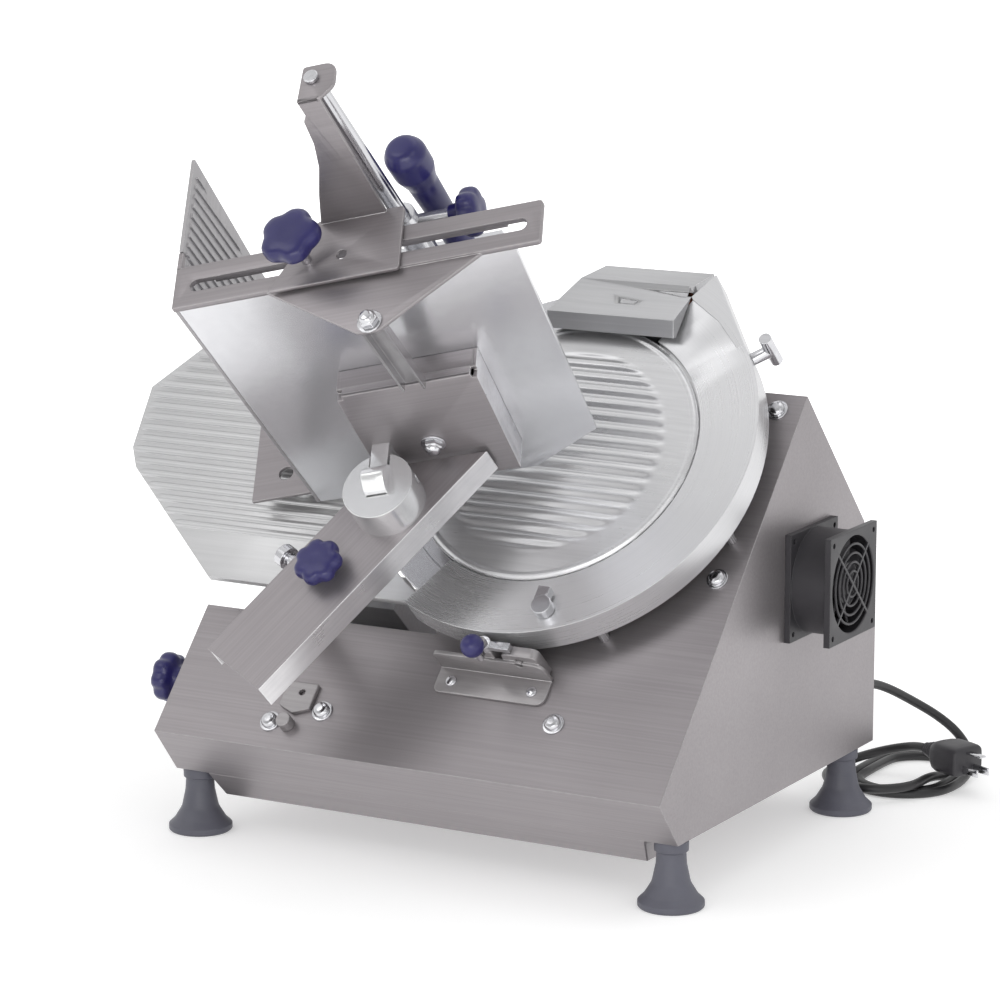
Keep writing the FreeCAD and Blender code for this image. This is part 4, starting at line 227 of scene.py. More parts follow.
# The place on a piece, measured in one of the local frames, so that grain runs along it.
def placeIn(tree, matrix, swap=""):
    coordinates = tree.nodes.new("ShaderNodeTexCoord")
    mapping = tree.nodes.new("ShaderNodeMapping")
    mapping.vector_type = "TEXTURE"
    grainTurn = {"": Matrix.Identity(4), "across": turned(90, "Z"), "upright": turned(90, "Y")}[swap]
    local = matrix @ grainTurn
    mapping.inputs["Location"].default_value = local.to_translation()
    mapping.inputs["Rotation"].default_value = local.to_euler("XYZ")
    link(tree, coordinates.outputs["Object"], mapping.inputs["Vector"])
    return mapping.outputs["Vector"]


def startMaterial(name):
    material = bpy.data.materials.new(name)
    material.use_nodes = True
    tree = material.node_tree
    tree.nodes.clear()
    shader = tree.nodes.new("ShaderNodeBsdfPrincipled")
    output = tree.nodes.new("ShaderNodeOutputMaterial")
    link(tree, shader.outputs[0], output.inputs["Surface"])
    return material, tree, shader


def bumpFrom(tree, shader, height, distance, normal=None):
    bump = tree.nodes.new("ShaderNodeBump")
    bump.inputs["Strength"].default_value = 1.0
    bump.inputs["Distance"].default_value = distance
    link(tree, height, bump.inputs["Height"])
    if normal is not None:
        link(tree, normal, bump.inputs["Normal"])
    link(tree, bump.outputs["Normal"], shader.inputs["Normal"])


# A metal: its grain is brushed along a frame's X, or turned about a frame's Z.
def makeMetal(name, look):
    material, tree, shader = startMaterial(name)
    place = placeIn(tree, look.get("frame", world), look.get("swap", ""))
    if look.get("turnedAbout"):
        grain = useGroup(tree, "turned", place, Fineness=look["fineness"])["Grain"]
        streak = grain
    else:
        outputs = useGroup(tree, "grain", place, Fineness=look["fineness"], Length=look["length"])
        grain, streak = outputs["Grain"], outputs["Streak"]
    patches = useGroup(tree, "patches", place, Scale=look["patchScale"])["Value"]
    edge = useGroup(tree, "edge", place, Amount=look["wearAndHighlight"])
    tone = mixColours(tree, rampNode(tree, streak, 0.3, 0.7, 0.0, 1.0), look["dark"], look["light"])
    tone = mixColours(tree, mathNode(tree, "MULTIPLY", patches, look["patchTint"]), tone, look["stain"])
    # The rim colour on the edges is partly wear and partly a painted highlight on rounded edges.
    tone = mixColours(tree, edge["Mask"], tone, look["rim"])
    link(tree, tone, shader.inputs["Base Color"])
    base = rampNode(tree, patches, 0.0, 1.0, look["roughLow"], look["roughHigh"])
    fine = rampNode(tree, grain, 0.3, 0.7, -look["grainRough"], look["grainRough"])
    link(tree, mathNode(tree, "ADD", base, fine, True), shader.inputs["Roughness"])
    shader.inputs["Metallic"].default_value = look["metal"]
    bumpFrom(tree, shader, grain, look["depth"], edge["Normal"])
    return material


# A plastic, rubber or paint: a pebbled skin over an even colour.
def makePlastic(name, look):
    material, tree, shader = startMaterial(name)
    place = placeIn(tree, Matrix.Identity(4))
    skin = useGroup(tree, "pebble", place, Scale=look["pebble"])["Height"]
    patches = useGroup(tree, "patches", place, Scale=look["patchScale"])["Value"]
    edge = useGroup(tree, "edge", place, Amount=look["wearAndHighlight"])
    tone = mixColours(tree, patches, look["dark"], look["light"])
    # The rim colour on the edges is partly wear and partly a painted highlight on rounded edges.
    tone = mixColours(tree, edge["Mask"], tone, look["rim"])
    link(tree, tone, shader.inputs["Base Color"])
    link(tree, rampNode(tree, patches, 0.0, 1.0, look["roughLow"], look["roughHigh"]), shader.inputs["Roughness"])
    shader.inputs["Coat Weight"].default_value = look.get("coat", 0.0)
    shader.inputs["Coat Roughness"].default_value = 0.12
    bumpFrom(tree, shader, skin, look["depth"], edge["Normal"])
    return material


# Each look's rim colour is partly edge wear and partly a painted highlight on rounded edges.
metalLooks = {
    "stainless": {"light": (0.330, 0.308, 0.318), "dark": (0.292, 0.272, 0.281), "stain": (0.268, 0.250, 0.258),
                  "rim": (0.62, 0.61, 0.61), "fineness": 1500.0, "length": 0.012, "patchScale": 5.0,
                  "patchTint": 0.30, "roughLow": 0.36, "roughHigh": 0.46, "grainRough": 0.05, "depth": 0.00002,
                  "metal": 0.72, "wearAndHighlight": 0.8},
    "satinAluminium": {"light": (0.70, 0.70, 0.71), "dark": (0.63, 0.63, 0.64), "stain": (0.56, 0.56, 0.575),
                       "rim": (0.86, 0.86, 0.86), "fineness": 1100.0, "length": 0.02, "patchScale": 7.0,
                       "patchTint": 0.30, "roughLow": 0.32, "roughHigh": 0.44, "grainRough": 0.04,
                       "depth": 0.000015, "metal": 0.75, "wearAndHighlight": 0.6},
    "polishedAluminium": {"light": (0.76, 0.76, 0.78), "dark": (0.72, 0.72, 0.74), "stain": (0.64, 0.65, 0.68),
                          "rim": (0.90, 0.90, 0.90), "fineness": 300.0, "length": 0.05, "patchScale": 5.0,
                          "patchTint": 0.5, "roughLow": 0.20, "roughHigh": 0.26, "grainRough": 0.01,
                          "depth": 0.000002, "metal": 0.80, "wearAndHighlight": 0.3},
    "chrome": {"light": (0.64, 0.64, 0.66), "dark": (0.56, 0.56, 0.58), "stain": (0.46, 0.46, 0.48),
               "rim": (0.92, 0.92, 0.92), "fineness": 900.0, "length": 0.05, "patchScale": 30.0,
               "patchTint": 0.25, "roughLow": 0.08, "roughHigh": 0.18, "grainRough": 0.02, "depth": 0.000005,
               "metal": 1.00, "wearAndHighlight": 0.3},
    "hiddenSteel": {"light": (0.42, 0.42, 0.43), "dark": (0.34, 0.34, 0.35), "stain": (0.25, 0.25, 0.25),
                    "rim": (0.6, 0.6, 0.6), "fineness": 900.0, "length": 0.05, "patchScale": 20.0,
                    "patchTint": 0.3, "roughLow": 0.3, "roughHigh": 0.45, "grainRough": 0.04, "depth": 0.00001,
                    "metal": 0.90, "wearAndHighlight": 0.5},
}
plasticLooks = {
    "blue": {"light": (0.019, 0.016, 0.115), "dark": (0.014, 0.012, 0.090), "rim": (0.05, 0.045, 0.23),
             "pebble": 1300.0, "patchScale": 25.0, "roughLow": 0.28, "roughHigh": 0.40, "depth": 0.00003,
             "wearAndHighlight": 0.5, "coat": 0.12},
    "footGrey": {"light": (0.120, 0.121, 0.150), "dark": (0.094, 0.095, 0.118), "rim": (0.15, 0.15, 0.17),
                 "pebble": 900.0, "patchScale": 18.0, "roughLow": 0.46, "roughHigh": 0.62, "depth": 0.00005,
                 "wearAndHighlight": 0.6},
    "black": {"light": (0.036, 0.034, 0.039), "dark": (0.026, 0.024, 0.028), "rim": (0.06, 0.06, 0.065),
              "pebble": 1100.0, "patchScale": 20.0, "roughLow": 0.38, "roughHigh": 0.52, "depth": 0.00004,
              "wearAndHighlight": 0.7},
    "cordBlack": {"light": (0.022, 0.021, 0.023), "dark": (0.015, 0.015, 0.016), "rim": (0.03, 0.03, 0.03),
                  "pebble": 2200.0, "patchScale": 30.0, "roughLow": 0.36, "roughHigh": 0.48, "depth": 0.00002,
                  "wearAndHighlight": 0.0},
    "green": {"light": (0.030, 0.20, 0.055), "dark": (0.022, 0.16, 0.043), "rim": (0.06, 0.28, 0.09),
              "pebble": 1500.0, "patchScale": 40.0, "roughLow": 0.25, "roughHigh": 0.35, "depth": 0.00002,
              "wearAndHighlight": 0.5, "coat": 0.3},
    "red": {"light": (0.42, 0.025, 0.018), "dark": (0.34, 0.02, 0.015), "rim": (0.5, 0.06, 0.05),
            "pebble": 1500.0, "patchScale": 40.0, "roughLow": 0.25, "roughHigh": 0.35, "depth": 0.00002,
            "wearAndHighlight": 0.5, "coat": 0.3},
    "motorPaint": {"light": (0.055, 0.058, 0.062), "dark": (0.040, 0.042, 0.046), "rim": (0.12, 0.12, 0.12),
                   "pebble": 700.0, "patchScale": 14.0, "roughLow": 0.4, "roughHigh": 0.55, "depth": 0.00005,
                   "wearAndHighlight": 0.8},
    "belt": {"light": (0.028, 0.028, 0.028), "dark": (0.018, 0.018, 0.018), "rim": (0.05, 0.05, 0.05),
             "pebble": 900.0, "patchScale": 30.0, "roughLow": 0.6, "roughHigh": 0.75, "depth": 0.00005,
             "wearAndHighlight": 0.3},
    "stone": {"light": (0.42, 0.16, 0.10), "dark": (0.30, 0.11, 0.07), "rim": (0.5, 0.25, 0.18),
              "pebble": 600.0, "patchScale": 60.0, "roughLow": 0.8, "roughHigh": 0.95, "depth": 0.0002,
              "wearAndHighlight": 0.4},
}

# Each metal finish: the look that it starts from, the frame that its grain follows, and what it changes.
bossPlace = (0.028, 0.159, 0.0)
bossFrame = carriage @ Matrix.Translation(bossPlace)
metalFinishes = {
    "housingSteel": dict(like="stainless"),
    "slopeSteel": dict(like="stainless", frame=incline, light=(0.40, 0.385, 0.39), dark=(0.34, 0.325, 0.33)),
    "traySteel": dict(like="stainless", frame=carriage, wearAndHighlight=0.9),
    "armSteel": dict(like="stainless", frame=armFrame),
    # A lighter copy of the steel for faces that the light falls on: a painted highlight.
    "paintedLitSteel": dict(like="chrome", frame=armFrame, light=(0.86, 0.85, 0.86), dark=(0.78, 0.77, 0.78),
                      roughLow=0.26, roughHigh=0.34, depth=0.000002, wearAndHighlight=0.2),
    "strutSteel": dict(like="polishedAluminium", frame=carriage, light=(0.55, 0.54, 0.55),
                       dark=(0.48, 0.47, 0.48), stain=(0.40, 0.39, 0.40)),
    "legSteel": dict(like="stainless", frame=incline, swap="across"),
    "gaugeAluminium": dict(like="satinAluminium", frame=incline, light=(0.60, 0.60, 0.605),
                           dark=(0.55, 0.55, 0.555), stain=(0.50, 0.50, 0.51)),
    "coverAluminium": dict(like="satinAluminium", frame=incline, roughLow=0.26, roughHigh=0.36),
    "ringAluminium": dict(like="satinAluminium", frame=knifeFrame, turnedAbout=True,
                          fineness=1300.0, roughLow=0.24, roughHigh=0.34),
    "hoodAluminium": dict(like="satinAluminium", frame=world, light=(0.50, 0.50, 0.51),
                          dark=(0.45, 0.45, 0.46), stain=(0.40, 0.40, 0.41)),
    "trayAluminium": dict(like="polishedAluminium", frame=carriage, swap="across"),
    "wallAluminium": dict(like="satinAluminium", frame=carriage, swap="across",
                          light=(0.42, 0.41, 0.42), dark=(0.37, 0.36, 0.37), stain=(0.33, 0.32, 0.33)),
    "turnedAluminium": dict(like="polishedAluminium", frame=bossFrame, turnedAbout=True,
                            fineness=900.0, light=(0.86, 0.86, 0.86), dark=(0.80, 0.80, 0.80)),
    "knifeSteel": dict(like="chrome", frame=knifeFrame, turnedAbout=True, fineness=2200.0,
                       roughLow=0.14, roughHigh=0.24),
    "chrome": dict(like="chrome", frame=world),
    "rodChrome": dict(like="chrome", frame=carriage, swap="upright"),
    "hiddenSteel": dict(like="hiddenSteel", frame=world),
    "pulleyAluminium": dict(like="polishedAluminium", frame=knifeFrame, turnedAbout=True, fineness=800.0),
}
finishes = {name: makeMetal(name, {**metalLooks[changes["like"]], **changes})
            for name, changes in metalFinishes.items()}
for plasticName, plasticLook in plasticLooks.items():
    finishes[plasticName] = makePlastic(plasticName, plasticLook)
print("finishes made:", len(finishes))

finishNodes = {
    "housingSteel": ("base_housing", "bottom_pan"),
    "chrome": ("housing_bolts", "ring_fittings", "guide_rod", "latch_lever", "gauge_rods", "arm_fittings",
               "acorn_nuts"),
    "footGrey": ("foot_front_left", "foot_front_right", "foot_rear_left", "foot_rear_right"),
    "hoodAluminium": ("knife_hub", "sharpener_housing", "gauge_bearing"),
    "hiddenSteel": ("hub_bearings", "motor_bracket", "rod_brackets", "knife_spindle", "carriage_slide"),
    "motorPaint": ("motor",),
    "belt": ("drive_belt",),
    "coverAluminium": ("knife_cover",),
    "ringAluminium": ("ring_guard",),
    "stone": ("sharpening_stones",),
    "slopeSteel": ("guard_bracket", "slice_deflector", "stop_plate"),
    "black": ("fan_frame", "switch_plate", "cord_gland", "mains_plug", "fan_rotor"),
    "cordBlack": ("mains_cord", "cord_coil", "cord_tail"),
    "knifeSteel": ("knife",),
    "pulleyAluminium": ("knife_pulley", "motor_pulley"),
    "blue": ("latch_ball", "thickness_knob", "arm_knob", "clamp_knob", "pusher_handle", "pusher_knob"),
    "green": ("start_button",),
    "red": ("stop_button",),
    "gaugeAluminium": ("gauge_plate",),
    "legSteel": ("carriage_leg",),
    "armSteel": ("carriage_arm",),
    "turnedAluminium": ("pivot_boss",),
    "trayAluminium": ("tray", "pusher_plate"),
    "traySteel": ("tray_bracket", "slotted_bar", "pusher_bracket"),
    "strutSteel": ("tray_strut",),
    "wallAluminium": ("end_wall",),
    "rodChrome": ("pusher_rod",),
}
nodeFinish = {node: finish for finish, members in finishNodes.items() for node in members}
nodeBody = {node: body for body, members in frame["record"]["behaviour"]["bodies"].items() for node in members}
for nodeName, finishName in nodeFinish.items():
    slots = nodes[nodeName].data.materials
    slots.clear()
    slots.append(finishes[finishName])


def settle(mesh, sharpAngle):
    mesh.polygons.foreach_set("use_smooth", [True] * len(mesh.polygons))
    mesh.set_sharp_from_angle(angle=math.radians(sharpAngle))


# Puts a finished bmesh into the scene as a piece that stands for the named nodes.
def addPiece(name, bm, finish, body, replaced, sharpAngle, matrix=None, recalculated=True):
    if matrix is not None:
        bmesh.ops.transform(bm, matrix=matrix, verts=bm.verts)
    if recalculated:
        bmesh.ops.recalc_face_normals(bm, faces=bm.faces)
    mesh = bpy.data.meshes.new(name)
    bm.to_mesh(mesh)
    bm.free()
    mesh.materials.append(finishes[finish])
    settle(mesh, sharpAngle)
    piece = bpy.data.objects.new(name, mesh)
    scene.collection.objects.link(piece)
    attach(piece, body)
    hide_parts(*replaced)
    return piece


# A piece that stands for one node, on that node's body and with its slot and finish.
def standIn(nodeName, name, bm, sharpAngle, matrix=None, finish=None, recalculated=True):
    return addPiece(name, bm, finish or nodeFinish[nodeName], nodeBody[nodeName], [nodeName],
                    sharpAngle, matrix, recalculated)


# A carried-over form with its edges broken, as a file or a press leaves them.
def softCopy(nodeName, width):
    bm = bmesh.new()
    bm.from_mesh(nodes[nodeName].data)
    bmesh.ops.remove_doubles(bm, verts=bm.verts, dist=0.000002)
    bmesh.ops.dissolve_limit(bm, angle_limit=math.radians(0.6), verts=bm.verts, edges=bm.edges)
    piece = standIn(nodeName, nodeName + "_dressed", bm, 30, recalculated=False)
    bevel = piece.modifiers.new("softEdge", "BEVEL")
    bevel.limit_method = "ANGLE"
    bevel.angle_limit = math.radians(32)
    bevel.width = width
    bevel.segments = 2
    bevel.harden_normals = True
    return piece


# Forms are drawn in millimetres and carried into the scene by a frame.
millimetres = Matrix.Scale(0.001, 4)
aims = {"up": Matrix.Identity(4), "right": turned(90, "Y"), "left": turned(-90, "Y"),
        "back": turned(-90, "X"), "front": turned(90, "X")}


def at(frameMatrix, across=0.0, along=0.0, high=0.0, aim="up"):
    return frameMatrix @ Matrix.Translation((across * 0.001, along * 0.001, high * 0.001)) @ aims[aim] @ millimetres


# Rounds the corners of an outline; a corner may carry its own radius.
def filleted(corners, radius, closed=True, steps=4):
    made = []
    count = len(corners)
    for index, corner in enumerate(corners):
        here = Vector(corner[:2])
        size = corner[2] if len(corner) > 2 else radius
        before = Vector(corners[index - 1][:2])
        after = Vector(corners[(index + 1) % count][:2])
        if size <= 0 or (not closed and index in (0, count - 1)):
            made.append(here)
            continue
        into = (here - before).normalized()
        away = (after - here).normalized()
        reach = size * math.tan(into.angle(away) / 2)
        reach = min(reach, 0.49 * (here - before).length, 0.49 * (after - here).length)
        first, last = here - into * reach, here + away * reach
        for step in range(steps + 1):
            share = step / steps
            made.append(first.lerp(here, share).lerp(here.lerp(last, share), share))
    return made


# The angles of evenly spread spots round a full turn.
def around(count):
    return [math.tau * number / count for number in range(count)]


# A form turned about the up axis from its half outline of distances and heights.
def lathe(outline, steps):
    bm = bmesh.new()
    places = [bm.verts.new((spot[0], 0, spot[1])) for spot in outline]
    edges = [bm.edges.new(pair) for pair in zip(places, places[1:])]
    bmesh.ops.spin(bm, geom=places + edges, cent=(0, 0, 0), axis=(0, 0, 1), angle=math.tau, steps=steps,
                   use_merge=True)
    bmesh.ops.remove_doubles(bm, verts=bm.verts, dist=0.0005)
    return bm


def thicken(bm, height):
    grown = bmesh.ops.extrude_face_region(bm, geom=bm.faces[:])["geom"]
    bmesh.ops.translate(bm, verts=[item for item in grown if isinstance(item, bmesh.types.BMVert)],
                        vec=(0, 0, height))


def breakEdges(bm, width, segments):
    bmesh.ops.recalc_face_normals(bm, faces=bm.faces)
    if width:
        sharp = [item for item in bm.edges if item.calc_face_angle(0) > math.radians(30)]
        bmesh.ops.bevel(bm, geom=sharp, offset=width, segments=segments, profile=0.5, affect="EDGES",
                        clamp_overlap=True)


# The same, from an outline with rounded corners.
def turnedForm(outline, radius, steps, fine=4):
    return lathe(filleted(outline, radius, False, fine), steps)


# A plain round pin that starts at the origin.
def turnedPin(radius, length, edge):
    return turnedForm([(0, 0, 0), (radius, 0), (radius, length), (0, length, 0)], edge, 32)


# A flat outline made thick upwards, with its edges broken.
def prism(outline, low, high, edge, segments=2):
    bm = bmesh.new()
    bm.faces.new([bm.verts.new((spot[0], spot[1], low)) for spot in outline])
    thicken(bm, high - low)
    breakEdges(bm, edge, segments)
    return bm


# A flat sheet with holes in it, made thick upwards, with its edges broken.
def holedPrism(outline, holes, low, high, edge):
    bm = bmesh.new()
    for line in [outline] + holes:
        places = [bm.verts.new((spot[0], spot[1], low)) for spot in line]
        for first, second in zip(places, places[1:] + places[:1]):
            bm.edges.new((first, second))
    bmesh.ops.triangle_fill(bm, use_beauty=True, edges=bm.edges)
    thicken(bm, high - low)
    bmesh.ops.dissolve_limit(bm, angle_limit=math.radians(0.5), verts=bm.verts, edges=bm.edges)
    breakEdges(bm, edge, 2)
    return bm


def roundHole(across, along, radius):
    return [(across + radius * math.cos(angle), along + radius * math.sin(angle)) for angle in around(24)]


def longHole(left, right, front, back, steps=10):
    half = (back - front) / 2
    middle = front + half
    ends = []
    for centre, start in ((right - half, -90), (left + half, 90)):
        for step in range(steps + 1):
            angle = math.radians(start + 180 * step / steps)
            ends.append((centre + half * math.cos(angle), middle + half * math.sin(angle)))
    return ends


# Stands a flat form up, with its face towards the front at a place along.
def standing(along):
    return Matrix.Translation((0, along, 0)) @ turned(90, "X")


# Brings one form into another, moved by a matrix.
def joinForm(target, source, matrix=None):
    carrier = bpy.data.meshes.new("carrier")
    source.to_mesh(carrier)
    source.free()
    if matrix is not None:
        carrier.transform(matrix)
    target.from_mesh(carrier)
    bpy.data.meshes.remove(carrier)
    return target


# Rings of points joined into a skin, closed at both ends by a point.
def skin(rings, bottom, top):
    bm = bmesh.new()
    made = [[bm.verts.new(spot) for spot in ring] for ring in rings]
    for lower, upper in zip(made, made[1:]):
        for index in range(len(lower)):
            after = (index + 1) % len(lower)
            bm.faces.new((lower[index], lower[after], upper[after], upper[index]))
    for ring, spot in ((made[0], bottom), (made[-1], top)):
        pole = bm.verts.new(spot)
        for index in range(len(ring)):
            bm.faces.new((ring[index], ring[(index + 1) % len(ring)], pole))
    return bm


# The mains lead: out of the gland, down to a flat coil on the floor, and over it to the plug.
leadPoints = [(196, 404, 88), (197, 418, 86.5), (202, 443, 77.5), (212, 470, 62), (226, 490, 47),
              (242, 496, 33.5), (256, 489.5, 20.5), (263, 475, 9.5), (264, 458.5, 3.75)]
coilTurns = [(264.0, 436.0, 44.0, -1, 3.75), (176.0, 481.5, 39.75, 1, 3.75), (255.5, 436.0, 35.5, -1, 3.75),
             (184.5, 481.5, 31.25, 1, 3.75)]
climbPoints = [(247, 464, 3.9), (247, 429, 11.75)]
lastTurn = (247.0, 408.5, 39.5, -1, 11.75)
tailPoints = [(168, 430.5, 12), (177.4, 448, 15), (194, 458.8, 20), (213.7, 460.3, 25.2), (227.4, 454.2, 28.3),
              (234.2, 451.2, 28.3)]
cordSize = {"length": 1.11, "diameter": 0.0075, "turnPoints": 8}


# Half a turn of the coil: a loop of points round it, which the smooth line then touches between them.
def halfTurn(start, level, radius, heading, high):
    count = cordSize["turnPoints"]
    step = math.pi / count
    reach = radius / math.cos(step / 2)
    middle = start + heading * radius
    spots = []
    for number in range(count):
        angle = (number + 0.5) * step
        spots.append((middle - heading * reach * math.cos(angle), level + heading * reach * math.sin(angle), high))
    return spots


def makeLead():
    route = list(leadPoints)
    for turn in coilTurns:
        route += halfTurn(*turn)
    route += climbPoints + halfTurn(*lastTurn) + tailPoints
    curve = bpy.data.curves.new("mainsLead", "CURVE")
    curve.dimensions = "3D"
    curve.resolution_u = 10
    curve.bevel_depth = cordSize["diameter"] / 2
    curve.bevel_resolution = 6
    curve.use_fill_caps = True
    spline = curve.splines.new("NURBS")
    spline.points.add(len(route) - 1)
    for place, spot in zip(spline.points, route):
        place.co = (*(world @ (Vector(spot) * 0.001)), 1.0)
    spline.order_u = 3
    spline.use_endpoint_u = True
    curve.materials.append(finishes["cordBlack"])
    lead = bpy.data.objects.new("mains_lead", curve)
    scene.collection.objects.link(lead)
    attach(lead, "root")
    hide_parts("mains_cord", "cord_coil", "cord_tail")
    return lead


# A ribbed sleeve that tapers from one radius to another.
def ribbedSleeve(start, wide, narrow, length, ribs):
    outline = [(narrow * 0.6, start), (wide, start)]
    for number in range(ribs):
        low = start + length * (number + 0.12) / ribs
        high = start + length * (number + 0.88) / ribs
        here = wide + (narrow - wide) * (number + 0.5) / ribs
        outline += [(here - 0.7, low, 0.2), (here, low + 0.5, 0.3), (here, high - 0.5, 0.3), (here - 0.7, high, 0.2)]
    outline += [(narrow, start + length), (narrow * 0.6, start + length)]
    return turnedForm(outline, 0.2, 48, 2)


glandSize = {"place": (196.0, 375.0, 88.0), "nut": [(0, 0, 0), (10.0, 0), (10.0, 4.0, 0.8), (0, 4.0, 0)],
             "sleeve": {"start": 4.0, "wide": 7.0, "narrow": 4.75, "length": 25.0, "ribs": 6}}


def makeGland():
    form = ribbedSleeve(**glandSize["sleeve"])
    joinForm(form, turnedForm(glandSize["nut"], 0.4, 6))
    return standIn("cord_gland", "gland_sleeve", form, 40, at(world, *glandSize["place"], "back"))


# The plug: sections of place, half width, half height and squareness, then its sleeve and its pins.
plug = {"place": (0.2342, 0.4512, 0.0283), "turn": -23.8, "corner": 0.62,
        "sections": [(12.0, 7.4, 7.4, 0.0), (14.0, 9.5, 9.0, 0.1), (17.0, 12.8, 10.6, 0.5), (21.0, 15.2, 11.8, 0.8),
                     (26.0, 16.0, 12.4, 1.0), (40.0, 16.0, 12.5, 1.0), (47.0, 15.6, 12.2, 1.0),
                     (49.4, 14.9, 11.5, 1.0), (50.0, 13.8, 10.4, 1.0)],
        "sleeve": {"start": 0.0, "wide": 4.8, "narrow": 8.6, "length": 13.0, "ribs": 4},
        "pins": [(-6.0, -6.25, 1.8, 6.3), (6.0, -6.25, 1.8, 6.3), (0.0, 7.0, 6.3, 1.8)], "pinReach": (48.0, 67.0)}


# The plug's body changes from round at the cord to a rounded block at the pins.
def makePlug():
    seat = world @ Matrix.Translation(plug["place"]) @ turned(plug["turn"], "Z") @ millimetres
    rings = []
    for place, wide, high, squared in plug["sections"]:
        ring = []
        power = 1.0 - plug["corner"] * squared
        for angle in around(64):
            across, up = math.cos(angle), math.sin(angle)
            ring.append((place, wide * math.copysign(abs(across) ** power, across),
                         high * math.copysign(abs(up) ** power, up)))
        rings.append(ring)
    body = skin(rings, (plug["sections"][0][0], 0, 0), (plug["sections"][-1][0], 0, 0))
    joinForm(body, ribbedSleeve(**plug["sleeve"]), aims["right"])
    shell = standIn("mains_plug", "plug_body", body, 50, seat)
    pins = bmesh.new()
    for across, up, wide, tall in plug["pins"]:
        section = [(-wide / 2, -tall / 2), (wide / 2, -tall / 2), (wide / 2, tall / 2), (-wide / 2, tall / 2)]
        joinForm(pins, prism(section, *plug["pinReach"], 0.5),
                 Matrix.Translation((0, across, up)) @ turned(90, "Z") @ turned(90, "X"))
    blades = addPiece("plug_pins", pins, "chrome", "root", ["mains_plug"], 35, seat)
    return shell, blades


lead = makeLead()
gland = makeGland()
plugShell, plugBlades = makePlug()
print("lead, gland and plug made")


# Lobed hand knobs: height share, radius share and how deep the lobes are at each level.
knobLevels = [(0.0, 0.40, 0.0), (0.0, 0.43, 0.0), (0.05, 0.45, 0.0), (0.26, 0.48, 0.0), (0.33, 0.58, 0.15),
              (0.36, 0.78, 0.5), (0.41, 0.90, 0.85), (0.49, 0.975, 1.0), (0.58, 1.0, 1.0), (0.72, 1.0, 1.0),
              (0.82, 0.975, 1.0), (0.90, 0.91, 0.95), (0.955, 0.80, 0.8), (0.985, 0.64, 0.5), (1.0, 0.42, 0.2),
              (1.0, 0.2, 0.0)]
knobDimple = 0.985
knobs = [
    {"node": "arm_knob", "frame": armFrame, "place": (100.0, 32.0, 112.3), "aim": "up", "radius": 19.0,
     "height": 20.0, "lobes": 7, "depth": 0.13},
    {"node": "clamp_knob", "frame": carriage, "place": (40.0, 238.2, 327.0), "aim": "up", "radius": 23.0,
     "height": 24.0, "lobes": 5, "depth": 0.14},
    {"node": "pusher_knob", "frame": carriage, "place": (132.0, 288.0, 274.0), "aim": "right", "radius": 18.5,
     "height": 24.0, "lobes": 6, "depth": 0.14},
    {"node": "thickness_knob", "frame": world, "place": (-224.0, 52.0, 117.0), "aim": "left", "radius": 20.0,
     "height": 24.0, "lobes": 8, "depth": 0.10},
]


def makeKnob(knob):
    rings = []
    for high, wide, lobed in knobLevels:
        ring = []
        for angle in around(144):
            valley = (0.5 - 0.5 * math.cos(knob["lobes"] * angle)) ** 1.6
            reach = knob["radius"] * wide * (1 - knob["depth"] * lobed * valley)
            ring.append((reach * math.cos(angle), reach * math.sin(angle), knob["height"] * high))
        rings.append(ring)
    form = skin(rings, (0, 0, 0), (0, 0, knob["height"] * knobDimple))
    standIn(knob["node"], knob["node"] + "_head", form, 50, at(knob["frame"], *knob["place"], knob["aim"]))


for knob in knobs:
    makeKnob(knob)
knobPins = [
    {"name": "clamp_stud", "node": "clamp_knob", "frame": carriage, "place": (40.0, 238.2, 314.0), "aim": "up",
     "radius": 4.0, "length": 15.0, "edge": 0.4},
    {"name": "dial_shaft", "node": "thickness_knob", "frame": world, "place": (-224.0, 52.0, 117.0),
     "aim": "right", "radius": 6.0, "length": 64.0, "edge": 0.5},
]
for pin in knobPins:
    addPiece(pin["name"], turnedPin(pin["radius"], pin["length"], pin["edge"]), "chrome", nodeBody[pin["node"]],
             [pin["node"]], 35, at(pin["frame"], *pin["place"], pin["aim"]))

handle = {"place": (114.0, 311.0, 200.0),
          "line": [(0, 0, 0), (10.6, 0, 0.8), (10.2, 40.0, 30), (11.8, 92.0, 20), (15.9, 106.0, 10),
                   (16.2, 124.0, 11), (11.0, 133.0, 9), (0, 134.0, 0)]}
standIn("pusher_handle", "handle_grip", turnedForm(handle["line"], 1.0, 72, 8), 60, at(carriage, *handle["place"]))

latchBall = {"radius": 9.0, "place": (53.0, 84.0, 50.0)}
ballForm = bmesh.new()
bmesh.ops.create_uvsphere(ballForm, u_segments=48, v_segments=24, radius=latchBall["radius"])
standIn("latch_ball", "latch_knob", ballForm, 60, at(incline, *latchBall["place"]))
print("knobs made")

